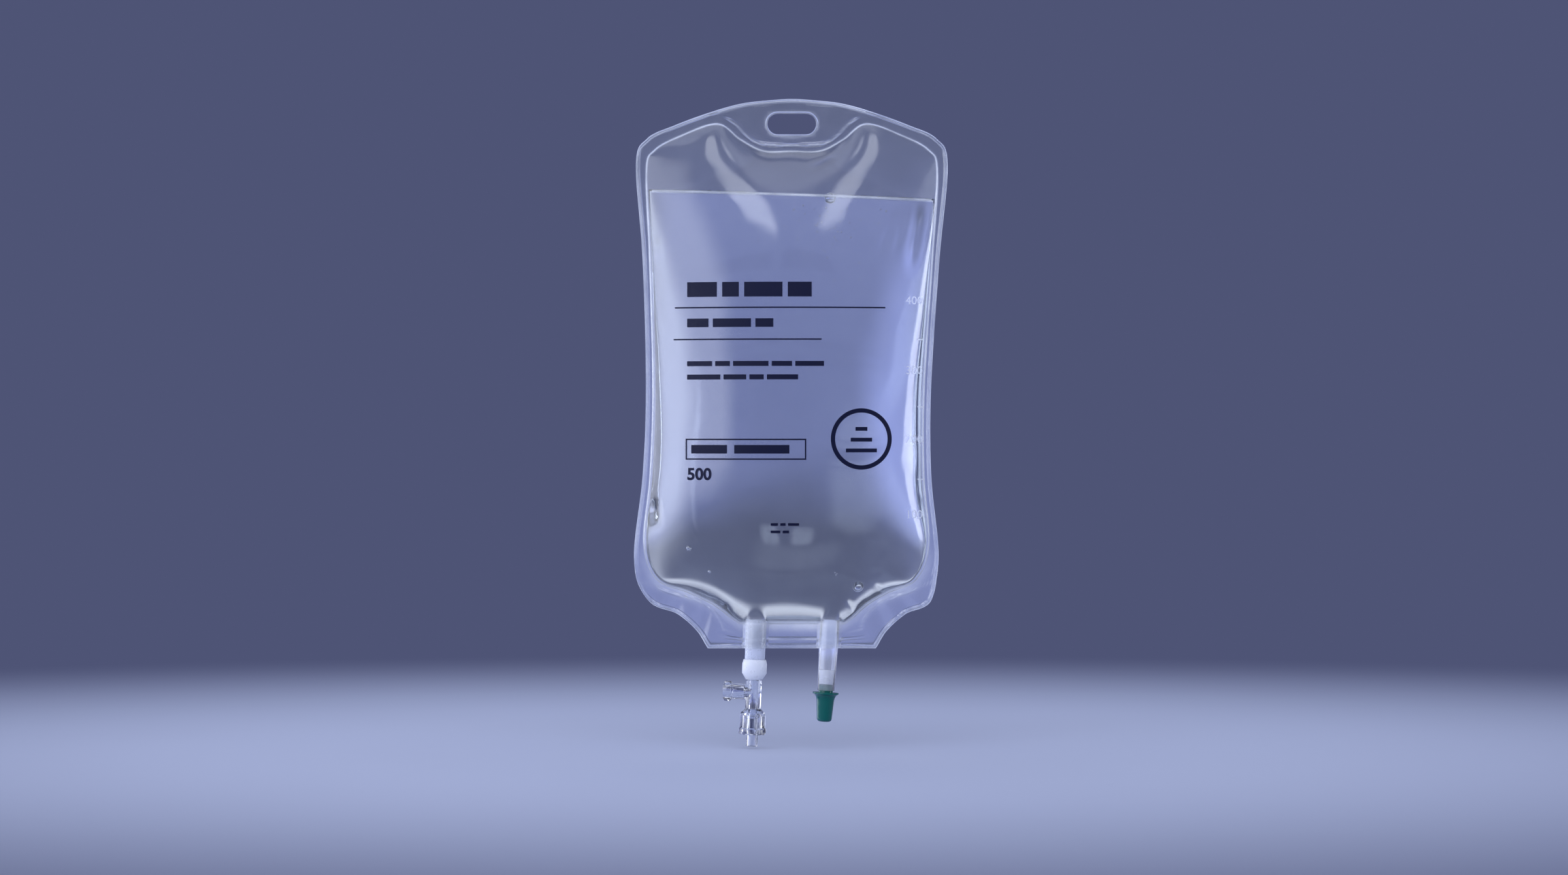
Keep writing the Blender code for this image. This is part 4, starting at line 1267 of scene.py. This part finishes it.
def make_room():
    """The world, with its level and its colour from direction and kind of ray."""
    world = bpy.data.worlds.new("room")
    scene.world = world
    world.use_nodes = True
    tree = world.node_tree
    parts = place_parts(tree, "ShaderNodeTexCoord", "Generated")
    path = tree.nodes.new("ShaderNodeLightPath").outputs
    seen = math_node(tree, "MAXIMUM", path["Is Glossy Ray"], path["Is Transmission Ray"])
    aside = math_node(tree, "ABSOLUTE", parts["X"])
    wall_part = range_node(tree, aside, SIDE_SPAN, 1.0, SIDE_LEVEL)
    for axis, span, level_there in (("Z", LOW_SPAN, LOW_LEVEL), ("X", LEFT_SPAN, LEFT_LEVEL)):
        glow = range_node(tree, parts[axis], span, 1.0, level_there)
        wall_part = math_node(tree, "MULTIPLY", wall_part, glow)
    front_share = range_node(tree, parts["Y"], FRONT_SPAN, 0.0, 1.0)
    shade = math_node(tree, "MULTIPLY", front_share, mix_node(tree, seen, 0.0, FRONT_SHADE))
    all_round = math_node(tree, "MULTIPLY", wall_part, mix_node(tree, seen, LIGHT_LEVEL, SEEN_LEVEL))
    all_round = math_node(tree, "MULTIPLY", all_round, math_node(tree, "SUBTRACT", 1.0, shade))
    front_part = math_node(tree, "MULTIPLY", front_share, mix_node(tree, seen, FRONT_LIGHT, 0.0))
    both = math_node(tree, "ADD", all_round, front_part)
    looked_at = math_node(tree, "MAXIMUM", seen, path["Is Camera Ray"])
    wall = tree.nodes["Background"].inputs
    tree.links.new(mix_node(tree, path["Is Camera Ray"], both, CAMERA_LEVEL), wall["Strength"])
    tree.links.new(mix_node(tree, looked_at, LIGHT_COLOR, WALL_COLOR), wall["Color"])


make_room()
print("world nodes:", len(scene.world.node_tree.nodes))

# %% [markdown]
# Tall soft lamps stand to both sides and draw the white bands along the bag's flanks. One above and
# behind lights the foot of the pouch, two small ones in front make the highlights under the header,
# and two more fill in from the front and the top. Each fades towards its rim as a softbox does, so
# no band has a hard edge. They are hidden from the camera itself, not from film and liquid.

# %% Lamps
# Each lamp: name, bearing from straight behind the bag, elevation, distance, size across and up, and
# brightness in its middle, where 1 is about that of white paper.
LAMPS = (
    ("right_back", 34, 5, 2.2, (1.80, 1.9), 0.36),
    ("left_back", -72, 4, 2.2, (2.60, 2.1), 2.1),
    ("back_top", -8, 33, 2.0, (2.30, 0.95), 0.95),
    ("right_side", 104, 8, 2.4, (0.50, 1.8), 4.6),
    ("left_side", -124, 12, 2.0, (2.70, 1.50), 1.7),
    ("front_left", 188, 33, 1.6, (0.32, 0.36), 2.3),
    ("front_right", 170, 33, 1.6, (0.32, 0.36), 2.3),
    ("fill", 190, 52, 2.2, (2.2, 1.2), 1.0),
    ("top", 180, 82, 1.5, (1.2, 0.8), 1.3),
)
LAMP_COLOR = (0.91, 0.945, 1.0)
ROUND_LAMPS = ("front_left", "front_right")
BAG_MIDDLE = Vector((0.0, 0.0, -0.13))
RIM_SHARE = 0.22


def soften_rim(lamp):
    """Fades a lamp from its rim inwards, over a share of its width and height."""
    lamp.use_nodes = True
    tree = lamp.node_tree
    parts = place_parts(tree, "ShaderNodeNewGeometry", "Parametric")
    strength = 1.0
    for axis in "XY":
        from_middle = math_node(tree, "ABSOLUTE", math_node(tree, "SUBTRACT", parts[axis], 0.5))
        fade = range_node(tree, from_middle, (0.5, 0.5 - RIM_SHARE), 0.0, 1.0)
        strength = math_node(tree, "MULTIPLY", fade, strength)
    tree.links.new(strength, tree.nodes["Emission"].inputs["Strength"])


def add_lamp(name, bearing, elevation, distance, size, brightness):
    """A lamp that faces the bag's middle."""
    lamp = bpy.data.lights.new(name, "AREA")
    lamp.shape = "ELLIPSE" if name in ROUND_LAMPS else "RECTANGLE"
    lamp.size, lamp.size_y = size
    lamp.color = LAMP_COLOR
    lamp.energy = brightness * math.pi * size[0] * size[1]
    soften_rim(lamp)
    made = bpy.data.objects.new(name, lamp)
    b, e = math.radians(bearing), math.radians(elevation)
    away = Vector((math.sin(b) * math.cos(e), math.cos(b) * math.cos(e), math.sin(e)))
    made.location = BAG_MIDDLE + distance * away
    made.rotation_euler = (-away).to_track_quat("-Z", "Y").to_euler()
    made.visible_camera = False
    scene.collection.objects.link(made)


for lamp in LAMPS:
    add_lamp(*lamp)
print("lamps:", len(LAMPS))

# %% [markdown]
# ## The camera
# The photograph was taken from straight ahead with a long lens: the two sides of the slot match,
# and the floor meets the tip of the port. One photo pixel is 0.275 mm at the bag.

# %% Camera
PHOTO_WIDTH, PHOTO_HEIGHT = 2400, 1340
PIXEL = 0.000275
SENSOR_WIDTH = 36
SLOT_MIDDLE_X, SLOT_TOP_Y = 1211.9, 174
CAMERA_DISTANCE = 1.8

camera_data = bpy.data.cameras.new("camera")
camera_data.sensor_width = SENSOR_WIDTH
camera_data.lens = SENSOR_WIDTH * CAMERA_DISTANCE / (PHOTO_WIDTH * PIXEL)
camera = bpy.data.objects.new("camera", camera_data)
camera.location = (
    (PHOTO_WIDTH / 2 - SLOT_MIDDLE_X) * PIXEL,
    -CAMERA_DISTANCE,
    (SLOT_TOP_Y - PHOTO_HEIGHT / 2) * PIXEL,
)
camera.rotation_euler = (math.radians(90), 0, 0)
scene.collection.objects.link(camera)
scene.camera = camera
scene.view_settings.view_transform = "Standard"
print("lens, mm:", round(camera_data.lens, 1))
